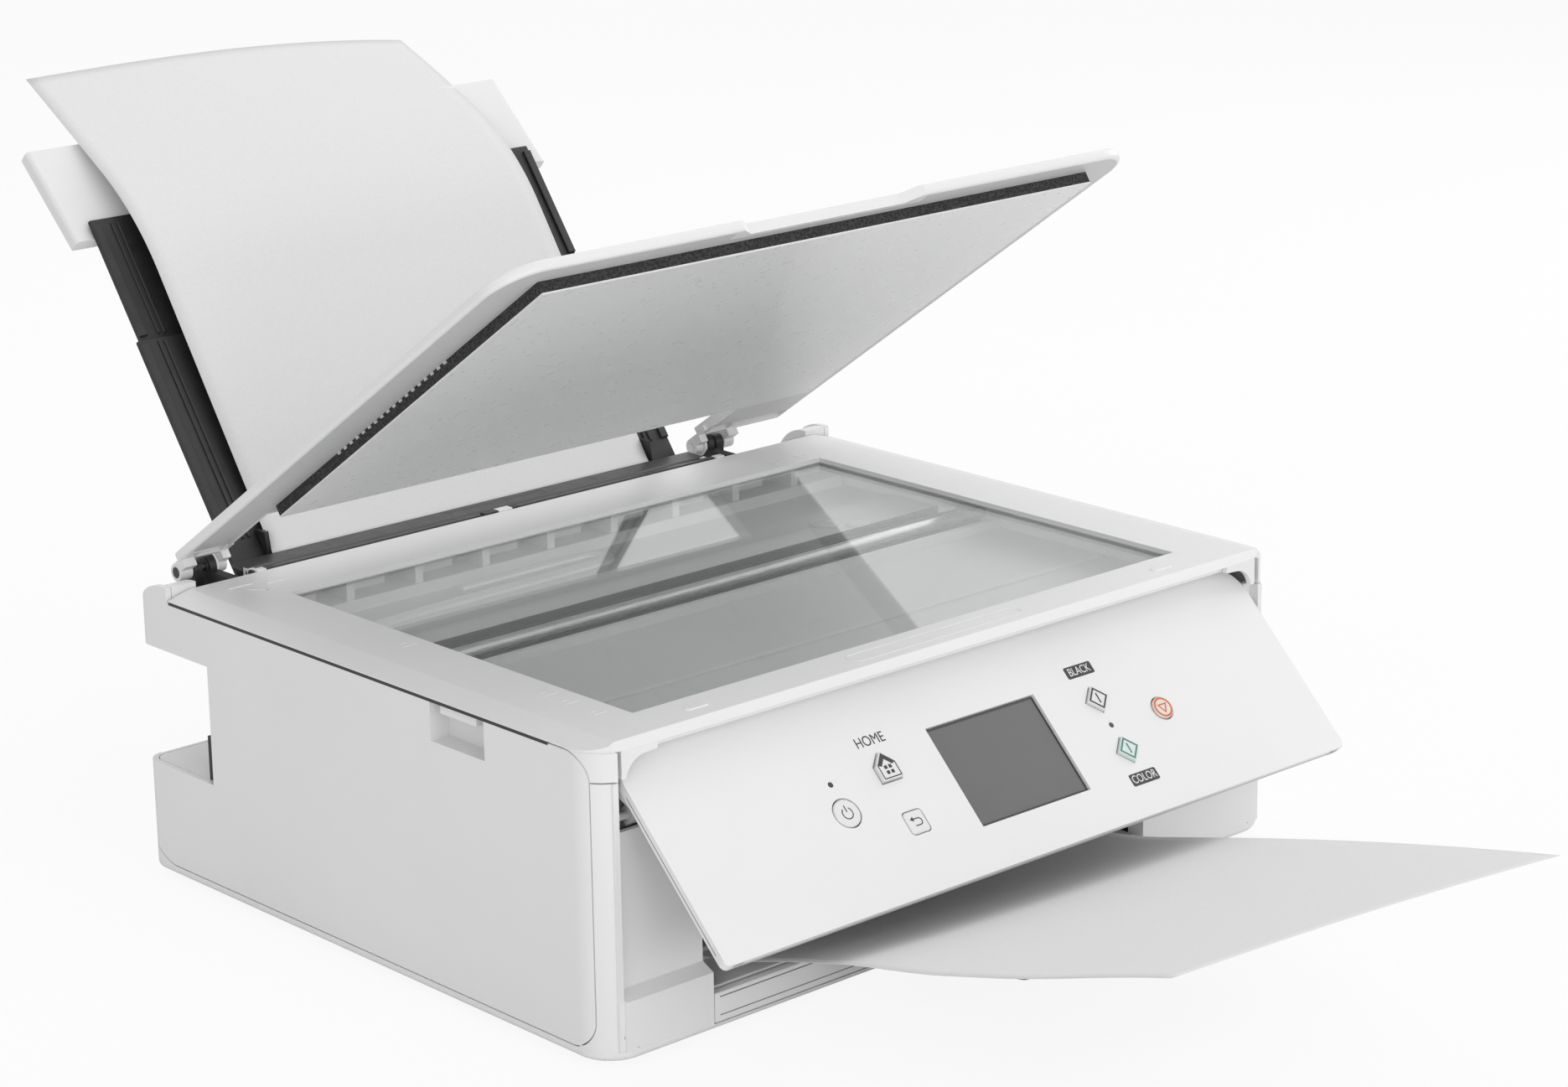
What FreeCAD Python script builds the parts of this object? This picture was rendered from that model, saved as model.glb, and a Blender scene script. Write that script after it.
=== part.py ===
"""Flatbed inkjet printer, modelled as separate pieces in millimetres.

+X is to the right as seen from the front, +Y is to the back and +Z is up.
The origin is on the surface that the feet stand on, under the middle of the case.
The document lid stands open, the control panel is tilted up, the paper support is drawn out,
one sheet is loaded at the back and one lies on the output tray.
"""
import FreeCAD
import Part
import math
import os
from types import SimpleNamespace

import Sketcher

SIZES = {
    # outer case
    "case_width": 372.0,
    "front_reach": 142.0,
    "rear_reach": 157.0,
    "case_wall": 2.5,
    "corner_radius": 16.0,
    "rear_corner": 8.0,
    "seam_gap": 0.5,
    "fit_gap": 0.3,
    "run_gap": 0.05,
    # base and feet
    "foot_radius": 8.0,
    "foot_inset": 34.0,
    "belly_under": 1.2,
    "belly_front": 20.0,
    "belly_clear": 2.0,
    "base_under": 2.8,
    "floor_thick": 2.5,
    "skirt_top": 7.5,
    "base_round": 3.0,
    # side covers
    "cover_top": 123.4,
    "shoulder_top": 129.5,
    "shoulder_front": 134.0,
    "shoulder_round": 18.5,
    "shoulder_width": 12.0,
    "cover_front_seam": 133.5,
    "cover_rear_round": 20.0,
    "cover_front_round": 11.0,
    "grip_front": 75.0,
    "grip_length": 33.0,
    "grip_height": 16.4,
    "grip_depth": 8.0,
    "grip_wall": 1.25,
    "tab_half": 11.0,
    "tab_height": 5.0,
    "tab_inset": 1.0,
    "tab_thick": 3.0,
    # recess for the leads at the back left
    "bay_front": 107.0,
    "bay_floor": 51.0,
    "bay_ceiling": 102.0,
    "bay_width": 42.0,
    "inlet_width": 24.0,
    "inlet_height": 19.0,
    "inlet_depth": 7.0,
    "socket_radius": 4.2,
    "socket_spread": 7.0,
    "socket_floor": 1.5,
    "inlet_gap": 4.0,
    "usb_width": 12.0,
    "usb_height": 11.0,
    "usb_rise": 5.5,
    "usb_wall": 0.8,
    "usb_depth": 9.0,
    "usb_floor": 2.0,
    "usb_proud": 0.5,
    # front
    "pillar_width": 10.0,
    "recess_depth": 6.0,
    "pillar_top": 112.4,
    "ledge_height": 29.6,
    "ledge_slope": 3.0,
    "brow_bottom": 62.0,
    "brow_top": 91.0,
    "path_centre": -14.0,
    "bay_half": 119.0,
    # cassette and the bridge over it
    "cassette_height": 12.0,
    "cassette_length": 290.0,
    "cassette_wall": 2.0,
    "cassette_front_thick": 5.0,
    "bridge_thick": 1.0,
    "bridge_leg": 6.0,
    "bridge_length": 185.0,
    # output tray, its flap and the printed sheet
    "tray_half": 74.0,
    "tray_thick": 1.8,
    "tray_front": 188.0,
    "tray_length": 112.0,
    "tray_knuckle": 1.5,
    "tray_lug_width": 24.0,
    "flap_length": 80.0,
    "flap_angle": 20.0,
    "flap_pin": 0.8,
    "sheet_width": 210.0,
    "sheet_length": 297.0,
    "sheet_thick": 0.25,
    "path_height": 26.4,
    "exit_bend_start": 114.3,
    "exit_bend": 200.0,
    "exit_rise": 14.5,
    "exit_run": 203.0,
    # rear paper support
    "support_foot_y": 159.2,
    "support_foot_z": 130.0,
    "support_lean": 36.0,
    "support_lower_half": 124.0,
    "support_upper_half": 121.0,
    "support_buried": 18.0,
    "support_lower_reach": 100.6,
    "support_upper_reach": 160.0,
    "support_overlap": 25.0,
    "support_thick": 2.0,
    "tray_base_length": 61.4,
    "tray_base_gap": 4.0,
    "tray_rib_spread": 62.0,
    "tray_rib_width": 4.0,
    "tray_rib_height": 8.0,
    "tray_rib_drop": 50.3,
    "cover_half": 129.5,
    "cover_length": 50.0,
    "cover_thick": 6.0,
    "cover_lean": 46.5,
    "cover_reach": 152.0,
    "cover_round": 2.0,
    "sheet_foot_y": 155.6,
    "sheet_lean": 34.0,
    "sheet_bend_height": 237.0,
    "sheet_bend": 130.0,
    "sheet_bend_angle": 25.0,
    "sheet_top_run": 65.0,
    "guide_thick": 2.2,
    "guide_top": 136.0,
    "guide_shelf_drop": 1.5,
    "guide_drop": 12.0,
    "guide_clear": 1.5,
    "guide_head": 7.0,
    "guide_step": 1.0,
    "slot_bar_depth": 5.0,
    "slot_bar_height": 16.0,
    "slot_cover_depth": 12.6,
    "slot_cover_thick": 2.4,
    "slot_margin": 2.5,
    "slot_pin": 0.8,
    "slot_pin_set": 2.0,
    "slot_ear_thick": 3.0,
    "slot_ear_round": 2.0,
    "rear_cover_top": 112.0,
    # hinge line shared by the scanner and the lid
    "hinge_y": 153.0,
    "hinge_z": 128.5,
    "hinge_pin": 2.0,
    "hinge_barrel": 3.75,
    "post_barrel": 4.0,
    "hinge_side_gap": 0.5,
    "shelf_drop": 14.5,
    "hinge_offset": 142.5,
    "post_width": 4.5,
    "arm_width": 5.0,
    "arm_set": 1.5,
    "arm_drop": 3.0,
    "lug_reach": 11.5,
    "lug_outer_width": 6.0,
    "lug_inner_width": 4.0,
    "lug_drop": 1.0,
    # scanner
    "deck_top": 127.3,
    "rim_under": 124.0,
    "rim_edge": 0.4,
    "deck_under": 121.5,
    "deck_rear": 133.0,
    "deck_bevel": 11.0,
    "lip_overhang": 3.0,
    "cap_under": 113.0,
    "window_width": 297.5,
    "window_depth": 217.7,
    "window_rear": 100.5,
    "glass_drop": 2.0,
    "glass_thick": 3.0,
    "glass_seat": 3.0,
    "tub_half": 172.0,
    "tub_front": 116.0,
    "tub_rear": 128.0,
    "tub_under": 105.0,
    "tub_wall": 2.0,
    "tub_seat": 2.0,
    "scan_rod_radius": 3.0,
    "scan_rod_y": 17.0,
    "scan_rod_lift": 2.0,
    "scan_rail_front": 12.0,
    "scan_rail_rear": 18.0,
    "scan_rail_thick": 3.0,
    "scan_rail_height": 4.0,
    "scan_belt_step": 10.0,
    "scan_belt_lift": 3.0,
    "scan_belt_width": 4.0,
    "scan_belt_thick": 1.0,
    "scan_belt_room": 3.0,
    "scan_pulley_inset": 12.0,
    "scan_pulley_radius": 4.0,
    "scan_post_height": 8.0,
    "scan_head_width": 26.0,
    "scan_head_front": 5.0,
    "scan_head_rear": 4.0,
    # document lid
    "lid_half": 169.0,
    "lid_front": 127.5,
    "lid_top": 135.5,
    "lid_under": 131.0,
    "lid_wall": 2.0,
    "lid_web": 6.25,
    "lid_web_set": 1.25,
    "liner_set": 10.0,
    "lid_corner": 20.0,
    "lid_rear": 107.0,
    "lid_arm_rear": 147.0,
    "lid_angle": 34.5,
    "lid_edge_round": 1.6,
    "notch_half": 49.0,
    "notch_centre": -4.0,
    "notch_depth": 6.0,
    "notch_slant": 8.0,
    "liner_under": 131.0,
    "liner_thick": 1.2,
    "foam_half": 147.0,
    "foam_front": 115.5,
    "foam_rear": 97.5,
    "foam_thick": 4.6,
    "pad_thick": 0.7,
    # control panel
    "panel_pivot_y": 133.0,
    "panel_pivot_z": 95.8,
    "panel_face": 14.0,
    "panel_half": 171.5,
    "panel_below": 71.85,
    "panel_above": 21.0,
    "panel_thick": 4.0,
    "panel_back_thick": 3.0,
    "panel_back_inset": 5.0,
    "housing_wall": 1.5,
    "ear_wall": 2.0,
    "cheek_low": 1.7,
    "cheek_depth": 9.0,
    "panel_angle": 45.0,
    "panel_corner": 15.0,
    "panel_foot_corner": 4.0,
    "panel_axle": 1.5,
    "screen_width": 60.0,
    "screen_height": 45.0,
    "screen_drop": 0.3,
    "screen_centre": 1.9,
    "button_row": 40.8,
    "button_rise": 12.0,
    "button_column": 60.4,
    "menu_column": 56.6,
    "power_x": 84.8,
    "stop_x": 90.3,
    "power_radius": 6.2,
    "stop_radius": 5.1,
    "back_half": 4.9,
    "back_round": 1.6,
    "home_half": 5.2,
    "home_below": 5.5,
    "home_eaves": 1.6,
    "home_peak": 7.0,
    "diamond_half": 6.0,
    "button_proud": 0.9,
    "button_short": 1.0,
    "button_gap": 0.3,
    "lamp_radius": 1.2,
    "lamp_rise": 53.5,
    # print engine
    "rail_half": 165.0,
    "rail_y": 62.0,
    "rail_thick": 2.0,
    "rail_top": 95.0,
    "rail_flange": 14.0,
    "rail_clear": 2.0,
    "bracket_depth": 44.0,
    "platen_front": 52.0,
    "platen_rear": 54.0,
    "platen_leg": 41.0,
    "paper_gap": 0.4,
    "nip_gap": 0.1,
    "eject_y": 58.0,
    "eject_radius": 2.5,
    "eject_shaft": 1.5,
    "tyre_width": 16.0,
    "tyre_count": 6.0,
    "feed_y": 60.0,
    "feed_radius": 4.0,
    "feed_shaft": 2.5,
    "feed_gear": 10.0,
    "gear_thick": 5.0,
    "gear_reach": 12.0,
    "ear_thick": 4.0,
    "ear_half": 6.0,
    "ear_rise": 2.0,
    "shaft_past": 2.0,
    "roller_gap": 2.0,
    "carriage_width": 75.0,
    "carriage_right": 160.0,
    "carriage_under": 30.0,
    "carriage_top": 88.0,
    "carriage_front": 38.0,
    "carriage_rear": 46.0,
    "carriage_wall": 2.0,
    "carriage_floor": 8.0,
    "hook_gap": 1.0,
    "tank_rise": 6.0,
    "tank_count": 5.0,
    "belt_height": 52.0,
    "belt_half": 150.0,
    "belt_radius": 5.5,
    "belt_thick": 1.0,
    "belt_width": 6.0,
    "belt_y": 54.0,
    "motor_radius": 14.0,
    "motor_length": 20.0,
    "motor_shaft": 1.5,
    "station_width": 46.0,
    "station_height": 21.0,
    "station_rear": 27.0,
    "cap_side": 5.0,
    "cap_end": 8.0,
    "cap_gap": 1.0,
    "board_length": 140.0,
    "board_height": 80.0,
    "board_thick": 1.6,
    "board_front": 98.0,
    "board_lift": 6.0,
    "supply_width": 34.0,
    "supply_length": 36.0,
    "supply_height": 30.0,
    "supply_inset": 3.0,
    "screw_radius": 3.0,
    "screw_head": 1.4,
    "screw_rise": 9.0,
    "screw_inset": 18.0,
}


class Size:
    """A number together with the sheet expression that it comes from."""

    def __init__(self, value, text):
        self.value = value
        self.text = text

    def __add__(self, other):
        other = as_size(other)
        return Size(self.value + other.value, f"({self.text} + {other.text})")

    def __sub__(self, other):
        other = as_size(other)
        return Size(self.value - other.value, f"({self.text} - {other.text})")

    def __mul__(self, other):
        other = as_size(other)
        return Size(self.value * other.value, f"({self.text} * {other.text})")

    def __truediv__(self, other):
        other = as_size(other)
        return Size(self.value / other.value, f"({self.text} / {other.text})")

    def __radd__(self, other):
        return as_size(other) + self

    def __rsub__(self, other):
        return as_size(other) - self

    def __rmul__(self, other):
        return as_size(other) * self

    def __neg__(self):
        return Size(-self.value, f"(0 - {self.text})")


def as_size(item):
    if isinstance(item, Size):
        return item
    return Size(float(item), f"({float(item)})")


def sine(angle):
    return Size(math.sin(math.radians(angle.value)), f"sin({angle.text})")


def cosine(angle):
    return Size(math.cos(math.radians(angle.value)), f"cos({angle.text})")


doc = FreeCAD.newDocument("printer")
sheet = doc.addObject("Spreadsheet::Sheet", "dims")
for row, (alias, value) in enumerate(SIZES.items(), start=1):
    sheet.set(f"A{row}", alias)
    sheet.set(f"B{row}", str(value))
    sheet.setAlias(f"B{row}", alias)
doc.recompute()
d = SimpleNamespace(**{name: Size(value, f"dims.{name}") for name, value in SIZES.items()})

# How far a cutting shape runs past what it cuts.
OVER = 1.0
# Points closer than this are the same point.
NEAR = 0.01

# Places that many pieces share.
HALF = d.case_width / 2
FRONT = -d.front_reach
REAR = d.rear_reach
FLOOR_TOP = d.base_under + d.floor_thick
BAY_LEFT = d.path_centre - d.bay_half
BAY_RIGHT = d.path_centre + d.bay_half
CASSETTE_UNDER = FLOOR_TOP + d.fit_gap
CASSETTE_TOP = CASSETTE_UNDER + d.cassette_height
BRIDGE_UNDER = CASSETTE_TOP + d.fit_gap
BRIDGE_TOP = BRIDGE_UNDER + d.bridge_thick
TRAY_UNDER = BRIDGE_TOP + d.fit_gap
TRAY_TOP = TRAY_UNDER + d.tray_thick
RECESS_FACE = FRONT + d.recess_depth
PILLAR_EDGE = HALF - d.pillar_width
PATH_LEFT = d.path_centre - d.sheet_width / 2
GLASS_TOP = d.deck_top - d.glass_drop
GLASS_UNDER = GLASS_TOP - d.glass_thick
WINDOW_HALF = d.window_width / 2
WINDOW_FRONT = d.window_rear - d.window_depth
PANEL_FACE = -(d.panel_pivot_y + d.panel_face)
PANEL_FOOT = d.panel_pivot_z - d.panel_below
PANEL_TOP = d.panel_pivot_z + d.panel_above
SHELF_TOP = d.hinge_z - d.shelf_drop
BAR_REAR = d.shoulder_front + d.slot_bar_depth
SLOT_LEFT = d.path_centre - d.cover_half - d.slot_margin
SLOT_RIGHT = d.path_centre + d.cover_half + d.slot_margin
SLOT_PIN_Y = BAR_REAR + d.slot_pin_set
SLOT_PIN_Z = d.rim_under + d.slot_cover_thick / 2
PLATEN_TOP = d.path_height - d.paper_gap
EJECT_Z = d.path_height - d.nip_gap - d.eject_radius
FEED_Z = d.path_height - d.nip_gap - d.feed_radius

nodes = {}


def node(name, item):
    """Names a finished piece, which is written to a file of that name."""
    item.Label = name
    nodes[name] = item
    return item


def bind(item, prop, size):
    item.setExpression(prop, as_size(size).text)


def place(item, base):
    for letter, size in zip("xyz", base):
        bind(item, f"Placement.Base.{letter}", size)


def box(low, high):
    """A box between two opposite corners."""
    item = doc.addObject("Part::Box", "box")
    for prop, start, end in zip(("Length", "Width", "Height"), low, high):
        bind(item, prop, as_size(end) - start)
    place(item, low)
    return item


AXIS_TURN = {
    "X": FreeCAD.Rotation(FreeCAD.Vector(0, 1, 0), 90),
    "Y": FreeCAD.Rotation(FreeCAD.Vector(1, 0, 0), -90),
    "Z": FreeCAD.Rotation(),
}


def rod(axis, start, length, radius):
    """A cylinder from a start point along one axis."""
    item = doc.addObject("Part::Cylinder", "rod")
    item.Placement.Rotation = AXIS_TURN[axis]
    bind(item, "Radius", radius)
    bind(item, "Height", length)
    place(item, start)
    return item


PROFILE_PLANE = {"X": "YZ_Plane", "Y": "XZ_Plane", "Z": "XY_Plane"}


def prism(axis, points, start, end, rounds=()):
    """A padded sketch. rounds lists (corner number, radius) for the corners that are rounded."""
    start = as_size(start)
    end = as_size(end)
    body = doc.addObject("PartDesign::Body", "body")
    sketch = body.newObject("Sketcher::SketchObject", "outline")
    plane = [item for item in body.Origin.OriginFeatures if item.Role == PROFILE_PLANE[axis]][0]
    sketch.AttachmentSupport = [(plane, "")]
    sketch.MapMode = "FlatFace"
    bind(sketch, "AttachmentOffset.Base.z", -end if axis == "Y" else start)
    points = [(as_size(u), as_size(v)) for u, v in points]
    corners = [FreeCAD.Vector(u.value, v.value, 0) for u, v in points]
    count = len(corners)
    for index in range(count):
        sketch.addGeometry(Part.LineSegment(corners[index], corners[(index + 1) % count]))
    for index in range(count):
        sketch.addConstraint(Sketcher.Constraint("Coincident", index, 2, (index + 1) % count, 1))
    for index, (u, v) in enumerate(points):
        for kind, size in (("DistanceX", u), ("DistanceY", v)):
            number = sketch.addConstraint(Sketcher.Constraint(kind, -1, 1, index, 1, size.value))
            sketch.setExpression(f"Constraints[{number}]", size.text)
    pad = body.newObject("PartDesign::Pad", "pad")
    pad.Profile = sketch
    bind(pad, "Length", end - start)
    doc.recompute()
    for radius in {id(r): r for _, r in rounds}.values():
        chosen = [corners[index] for index, r in rounds if r is radius]
        round_corners(body, axis, chosen, radius)
    return body


def round_corners(body, axis, chosen, radius):
    """Rounds the edges of a padded outline that run along its axis through the chosen corners."""
    base = body.Tip
    first, second = {"X": ("y", "z"), "Y": ("x", "z"), "Z": ("x", "y")}[axis]
    names = []
    for number, edge in enumerate(base.Shape.Edges, start=1):
        ends = [(getattr(v.Point, first), getattr(v.Point, second)) for v in edge.Vertexes]
        along_axis = math.dist(ends[0], ends[-1]) < NEAR
        if along_axis and any(math.dist(ends[0], (c.x, c.y)) < NEAR for c in chosen):
            names.append(f"Edge{number}")
    fillet = body.newObject("PartDesign::Fillet", "round")
    fillet.Base = (base, names)
    bind(fillet, "Radius", radius)
    body.Tip = fillet
    doc.recompute()


def fuse(*items):
    if len(items) == 1:
        return items[0]
    item = doc.addObject("Part::MultiFuse", "fuse")
    item.Shapes = list(items)
    item.Refine = True
    return item


def cut(base, *tools):
    item = doc.addObject("Part::Cut", "cut")
    item.Base = base
    item.Tool = fuse(*tools)
    return item


def common(*items):
    item = doc.addObject("Part::MultiCommon", "common")
    item.Shapes = list(items)
    return item


def group(*items):
    """Separate solids that make one node."""
    item = doc.addObject("Part::Compound", "group")
    item.Links = list(items)
    return item


def mirrored(item, middle=0):
    """A copy on the other side of the plane x = middle."""
    copy = doc.addObject("Part::Mirroring", "mirrored")
    copy.Source = item
    copy.Normal = FreeCAD.Vector(1, 0, 0)
    bind(copy, "Base.x", middle)
    return copy


def soften(item, radius, pick):
    """Rounds the edges of a finished piece for which pick(edge) is true."""
    doc.recompute()
    chosen = [number for number, edge in enumerate(item.Shape.Edges, start=1) if pick(edge)]
    rounded = doc.addObject("Part::Fillet", "softened")
    rounded.Base = item
    rounded.Edges = [(number, radius.value, radius.value) for number in chosen]
    return rounded


def turn(item, pivot_y, pivot_z, angle):
    """Turns a piece about a line along X, so that its front rises and its top leans back."""
    turned = group(item)
    turned.Placement.Rotation = FreeCAD.Rotation(FreeCAD.Vector(-1, 0, 0), angle.value)
    bind(turned, "Placement.Rotation.Angle", angle)
    bind(turned, "Placement.Base.y", pivot_y - (pivot_y * cosine(angle) + pivot_z * sine(angle)))
    bind(turned, "Placement.Base.z", pivot_z - (pivot_z * cosine(angle) - pivot_y * sine(angle)))
    return turned


def rectangle(low_x, low_y, high_x, high_y):
    return [(low_x, low_y), (high_x, low_y), (high_x, high_y), (low_x, high_y)]


def case_ring(low_z, high_z):
    """The wall of the case between two heights, with rounded corners."""
    inner_front = d.corner_radius - d.case_wall
    inner_rear = d.rear_corner - d.case_wall
    wall = d.case_wall
    outer = prism(
        "Z",
        rectangle(-HALF, FRONT, HALF, REAR),
        low_z,
        high_z,
        [(0, d.corner_radius), (1, d.corner_radius), (2, d.rear_corner), (3, d.rear_corner)],
    )
    inner = prism(
        "Z",
        rectangle(wall - HALF, FRONT + wall, HALF - wall, REAR - wall),
        low_z - OVER,
        high_z + OVER,
        [(0, inner_front), (1, inner_front), (2, inner_rear), (3, inner_rear)],
    )
    return cut(outer, inner)


def make_base():
    """Bottom tray of the case, its belly and the four feet under it."""
    rounds = [(0, d.corner_radius), (1, d.corner_radius), (2, d.rear_corner), (3, d.rear_corner)]
    top = d.skirt_top - d.seam_gap
    outer = prism("Z", rectangle(-HALF, FRONT, HALF, REAR), d.base_under, top, rounds)
    under = (SIZES["base_under"],)
    outer = soften(outer, d.base_round, lambda edge: lies_flat(edge, under))
    wall = d.case_wall + d.seam_gap
    hollow = box((wall - HALF, FRONT + wall, FLOOR_TOP), (HALF - wall, REAR - wall, d.skirt_top + OVER))
    mouth_rear = FRONT + d.corner_radius
    mouth = box((BAY_LEFT, FRONT - OVER, FLOOR_TOP), (BAY_RIGHT, mouth_rear, d.skirt_top + OVER))
    belly_side = HALF - d.foot_inset - d.foot_radius - d.belly_clear
    belly_rear = REAR - d.rear_corner
    belly = box((-belly_side, -d.belly_front, d.belly_under), (belly_side, belly_rear, d.base_under))
    corner = d.cover_rear_round + d.seam_gap
    cover = prism(
        "X",
        rectangle(0, top, REAR + d.seam_gap, d.cover_top),
        -HALF - OVER,
        HALF + OVER,
        [(1, corner)],
    )
    heel = cut(
        common(
            case_ring(top - OVER, top + corner),
            box((-HALF, REAR - corner, top - OVER), (d.rear_corner - HALF, REAR, top + corner)),
        ),
        cover,
    )
    node("base_case", fuse(cut(outer, hollow, mouth), belly, heel, mirrored(heel)))
    feet = []
    for side in (-1, 1):
        x = side * (HALF - d.foot_inset)
        feet.append(rod("Z", (x, REAR - d.foot_inset, 0), d.base_under, d.foot_radius))
        feet.append(rod("Z", (x, FRONT + d.foot_inset, 0), d.base_under, d.foot_radius))
    node("rubber_feet", group(*feet))


def side_outline(with_bay):
    """Outline of a side cover, from the front foot round to the front top."""
    low = d.skirt_top
    front = -d.cover_front_seam
    points = [(front, low), (REAR, low)]
    if with_bay:
        points += [
            (REAR, d.bay_floor),
            (d.bay_front, d.bay_floor),
            (d.bay_front, d.bay_ceiling),
            (REAR, d.bay_ceiling),
        ]
    points += [
        (REAR, d.shoulder_top),
        (d.shoulder_front, d.shoulder_top),
        (d.shoulder_front, d.cover_top),
        (front, d.cover_top),
    ]
    return points


def make_side_covers():
    """Left and right covers, each with a hand grip under the scanner's rim."""
    for name, side, with_bay in (("left_side_cover", -1, True), ("right_side_cover", 1, False)):
        points = side_outline(with_bay)
        last = len(points) - 1
        rounds = [
            (0, d.cover_front_round),
            (1, d.cover_rear_round),
            (last - 3, d.shoulder_round),
            (last, d.cover_front_round),
        ]
        outline = prism("X", points, -HALF - OVER, d.rear_corner - HALF, rounds)
        wall = common(case_ring(d.skirt_top, d.shoulder_top), outline)
        grip_rear = d.grip_length - d.grip_front
        grip_floor = d.cover_top - d.grip_height
        inside = d.case_wall - HALF
        above = d.cover_top + OVER
        opening = box((-HALF - OVER, -d.grip_front, grip_floor), (inside + OVER, grip_rear, above))
        edge = d.grip_wall
        pocket = cut(
            box(
                (inside, -d.grip_front - edge, grip_floor - edge),
                (inside + d.grip_depth, grip_rear + edge, d.cover_top),
            ),
            box(
                (inside - OVER, -d.grip_front, grip_floor),
                (inside + d.grip_depth - edge, grip_rear, d.cover_top + OVER),
            ),
        )
        cover = fuse(cut(wall, opening), pocket)
        node(name, cover if side < 0 else mirrored(cover))


def make_rear():
    """Rear cover, the recess for the leads with its sockets, and the screws."""
    seam = d.rear_corner - HALF + d.seam_gap
    ring = case_ring(d.skirt_top, d.rear_cover_top)
    middle = box((seam, REAR - d.rear_corner, d.skirt_top), (-seam, REAR + OVER, d.rear_cover_top))
    bay_right = d.bay_width + d.case_wall - HALF
    bay_mouth = box(
        (-HALF - OVER, REAR - d.rear_corner - OVER, d.bay_floor),
        (bay_right, REAR + OVER, d.bay_ceiling),
    )
    node("rear_cover", cut(common(ring, middle), bay_mouth))
    wall = d.case_wall
    left = wall - HALF + d.fit_gap
    inner_rear = REAR - wall - d.fit_gap
    bay_plan = rectangle(left, d.bay_front - wall, bay_right + wall, inner_rear)
    bay = cut(
        prism("Z", bay_plan, d.bay_floor - wall, d.bay_ceiling + wall, [(3, d.rear_corner - wall)]),
        box((left - OVER, d.bay_front, d.bay_floor), (bay_right, inner_rear + OVER, d.bay_ceiling)),
    )
    inlet_left = left + d.fit_gap
    inlet_right = inlet_left + d.inlet_width
    inlet_middle = (inlet_left + inlet_right) / 2
    inlet_height = d.bay_floor + d.inlet_height / 2
    usb_left = inlet_right + d.inlet_gap
    usb_right = usb_left + d.usb_width
    usb_low = d.bay_floor + d.usb_rise
    usb_high = usb_low + d.usb_height
    usb_hole = box((usb_left, d.bay_front - wall - OVER, usb_low), (usb_right, d.bay_front + OVER, usb_high))
    node("connector_bay", cut(bay, usb_hole))
    block = box(
        (inlet_left, d.bay_front, d.bay_floor),
        (inlet_right, d.bay_front + d.inlet_depth, d.bay_floor + d.inlet_height),
    )
    depth = d.inlet_depth - d.socket_floor
    mouth_y = d.bay_front + d.inlet_depth - depth
    spread = d.socket_spread / 2
    sockets = [
        rod("Y", (x, mouth_y, inlet_height), depth + OVER, d.socket_radius)
        for x in (inlet_middle - spread, inlet_middle + spread)
    ]
    node("power_inlet", cut(block, *sockets))
    edge = d.usb_wall
    usb_back = d.bay_front - d.usb_depth
    usb = cut(
        box((usb_left, usb_back, usb_low), (usb_right, d.bay_front + d.usb_proud, usb_high)),
        box(
            (usb_left + edge, usb_back + d.usb_floor, usb_low + edge),
            (usb_right - edge, d.bay_front + d.usb_proud + OVER, usb_high - edge),
        ),
    )
    node("usb_port", usb)
    screws = []
    for side in (-1, 1):
        for height in (d.skirt_top + d.screw_rise, d.rear_cover_top - d.screw_rise):
            x = side * (HALF - d.rear_corner - d.screw_inset)
            screws.append(rod("Y", (x, REAR, height), d.screw_head, d.screw_radius))
    node("case_screws", group(*screws))


def make_front():
    """Front frame: corner pillars, the recess behind the panel and the blocks beside the paper exit."""
    low = d.skirt_top - d.seam_gap
    seam = -(d.cover_front_seam + d.seam_gap)
    wall = d.case_wall
    pillar = common(
        case_ring(low, d.pillar_top),
        box((-HALF - OVER, FRONT - OVER, low), (-PILLAR_EDGE, seam, d.pillar_top)),
    )
    corner = d.cover_front_round
    cover_corner = prism(
        "X",
        rectangle(seam, low, corner, d.cover_top),
        -HALF - OVER,
        HALF + OVER,
        [(0, corner + d.seam_gap)],
    )
    foot = cut(
        common(
            case_ring(low, low + corner),
            box((-HALF - OVER, seam - OVER, low), (-PILLAR_EDGE, seam + corner, low + corner)),
        ),
        cover_corner,
    )
    step = box(
        (-PILLAR_EDGE - wall, FRONT + wall / 2, low),
        (-PILLAR_EDGE, RECESS_FACE + wall, d.pillar_top),
    )
    margin = -(d.panel_half + 2 * d.fit_gap)
    strip = box((-PILLAR_EDGE, RECESS_FACE, low), (margin, RECESS_FACE + wall, d.pillar_top))
    face = cut(
        box((margin, RECESS_FACE, low), (-margin, RECESS_FACE + wall, d.brow_top)),
        box(
            (BAY_LEFT, RECESS_FACE - OVER, low - OVER),
            (BAY_RIGHT, RECESS_FACE + wall + OVER, d.brow_bottom),
        ),
    )
    blocks = [front_block(-PILLAR_EDGE, BAY_LEFT), front_block(BAY_RIGHT, PILLAR_EDGE)]
    ear, axle_hole = panel_ear()
    ends = cut(fuse(pillar, foot, step, strip, ear), axle_hole)
    node("front_frame", fuse(ends, mirrored(ends), face, *blocks))


def front_block(left, right):
    """A hollow block with a sloping ledge, below the closed panel."""
    wall = d.case_wall
    low = d.skirt_top - d.seam_gap
    profile = [
        (FRONT, low),
        (RECESS_FACE, low),
        (RECESS_FACE, d.ledge_height),
        (FRONT, d.ledge_height - d.ledge_slope),
    ]
    hollow = box(
        (left + wall, FRONT + wall, low - OVER),
        (right - wall, RECESS_FACE + OVER, d.ledge_height - d.ledge_slope - wall),
    )
    return cut(prism("X", profile, left, right), hollow)


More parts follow.
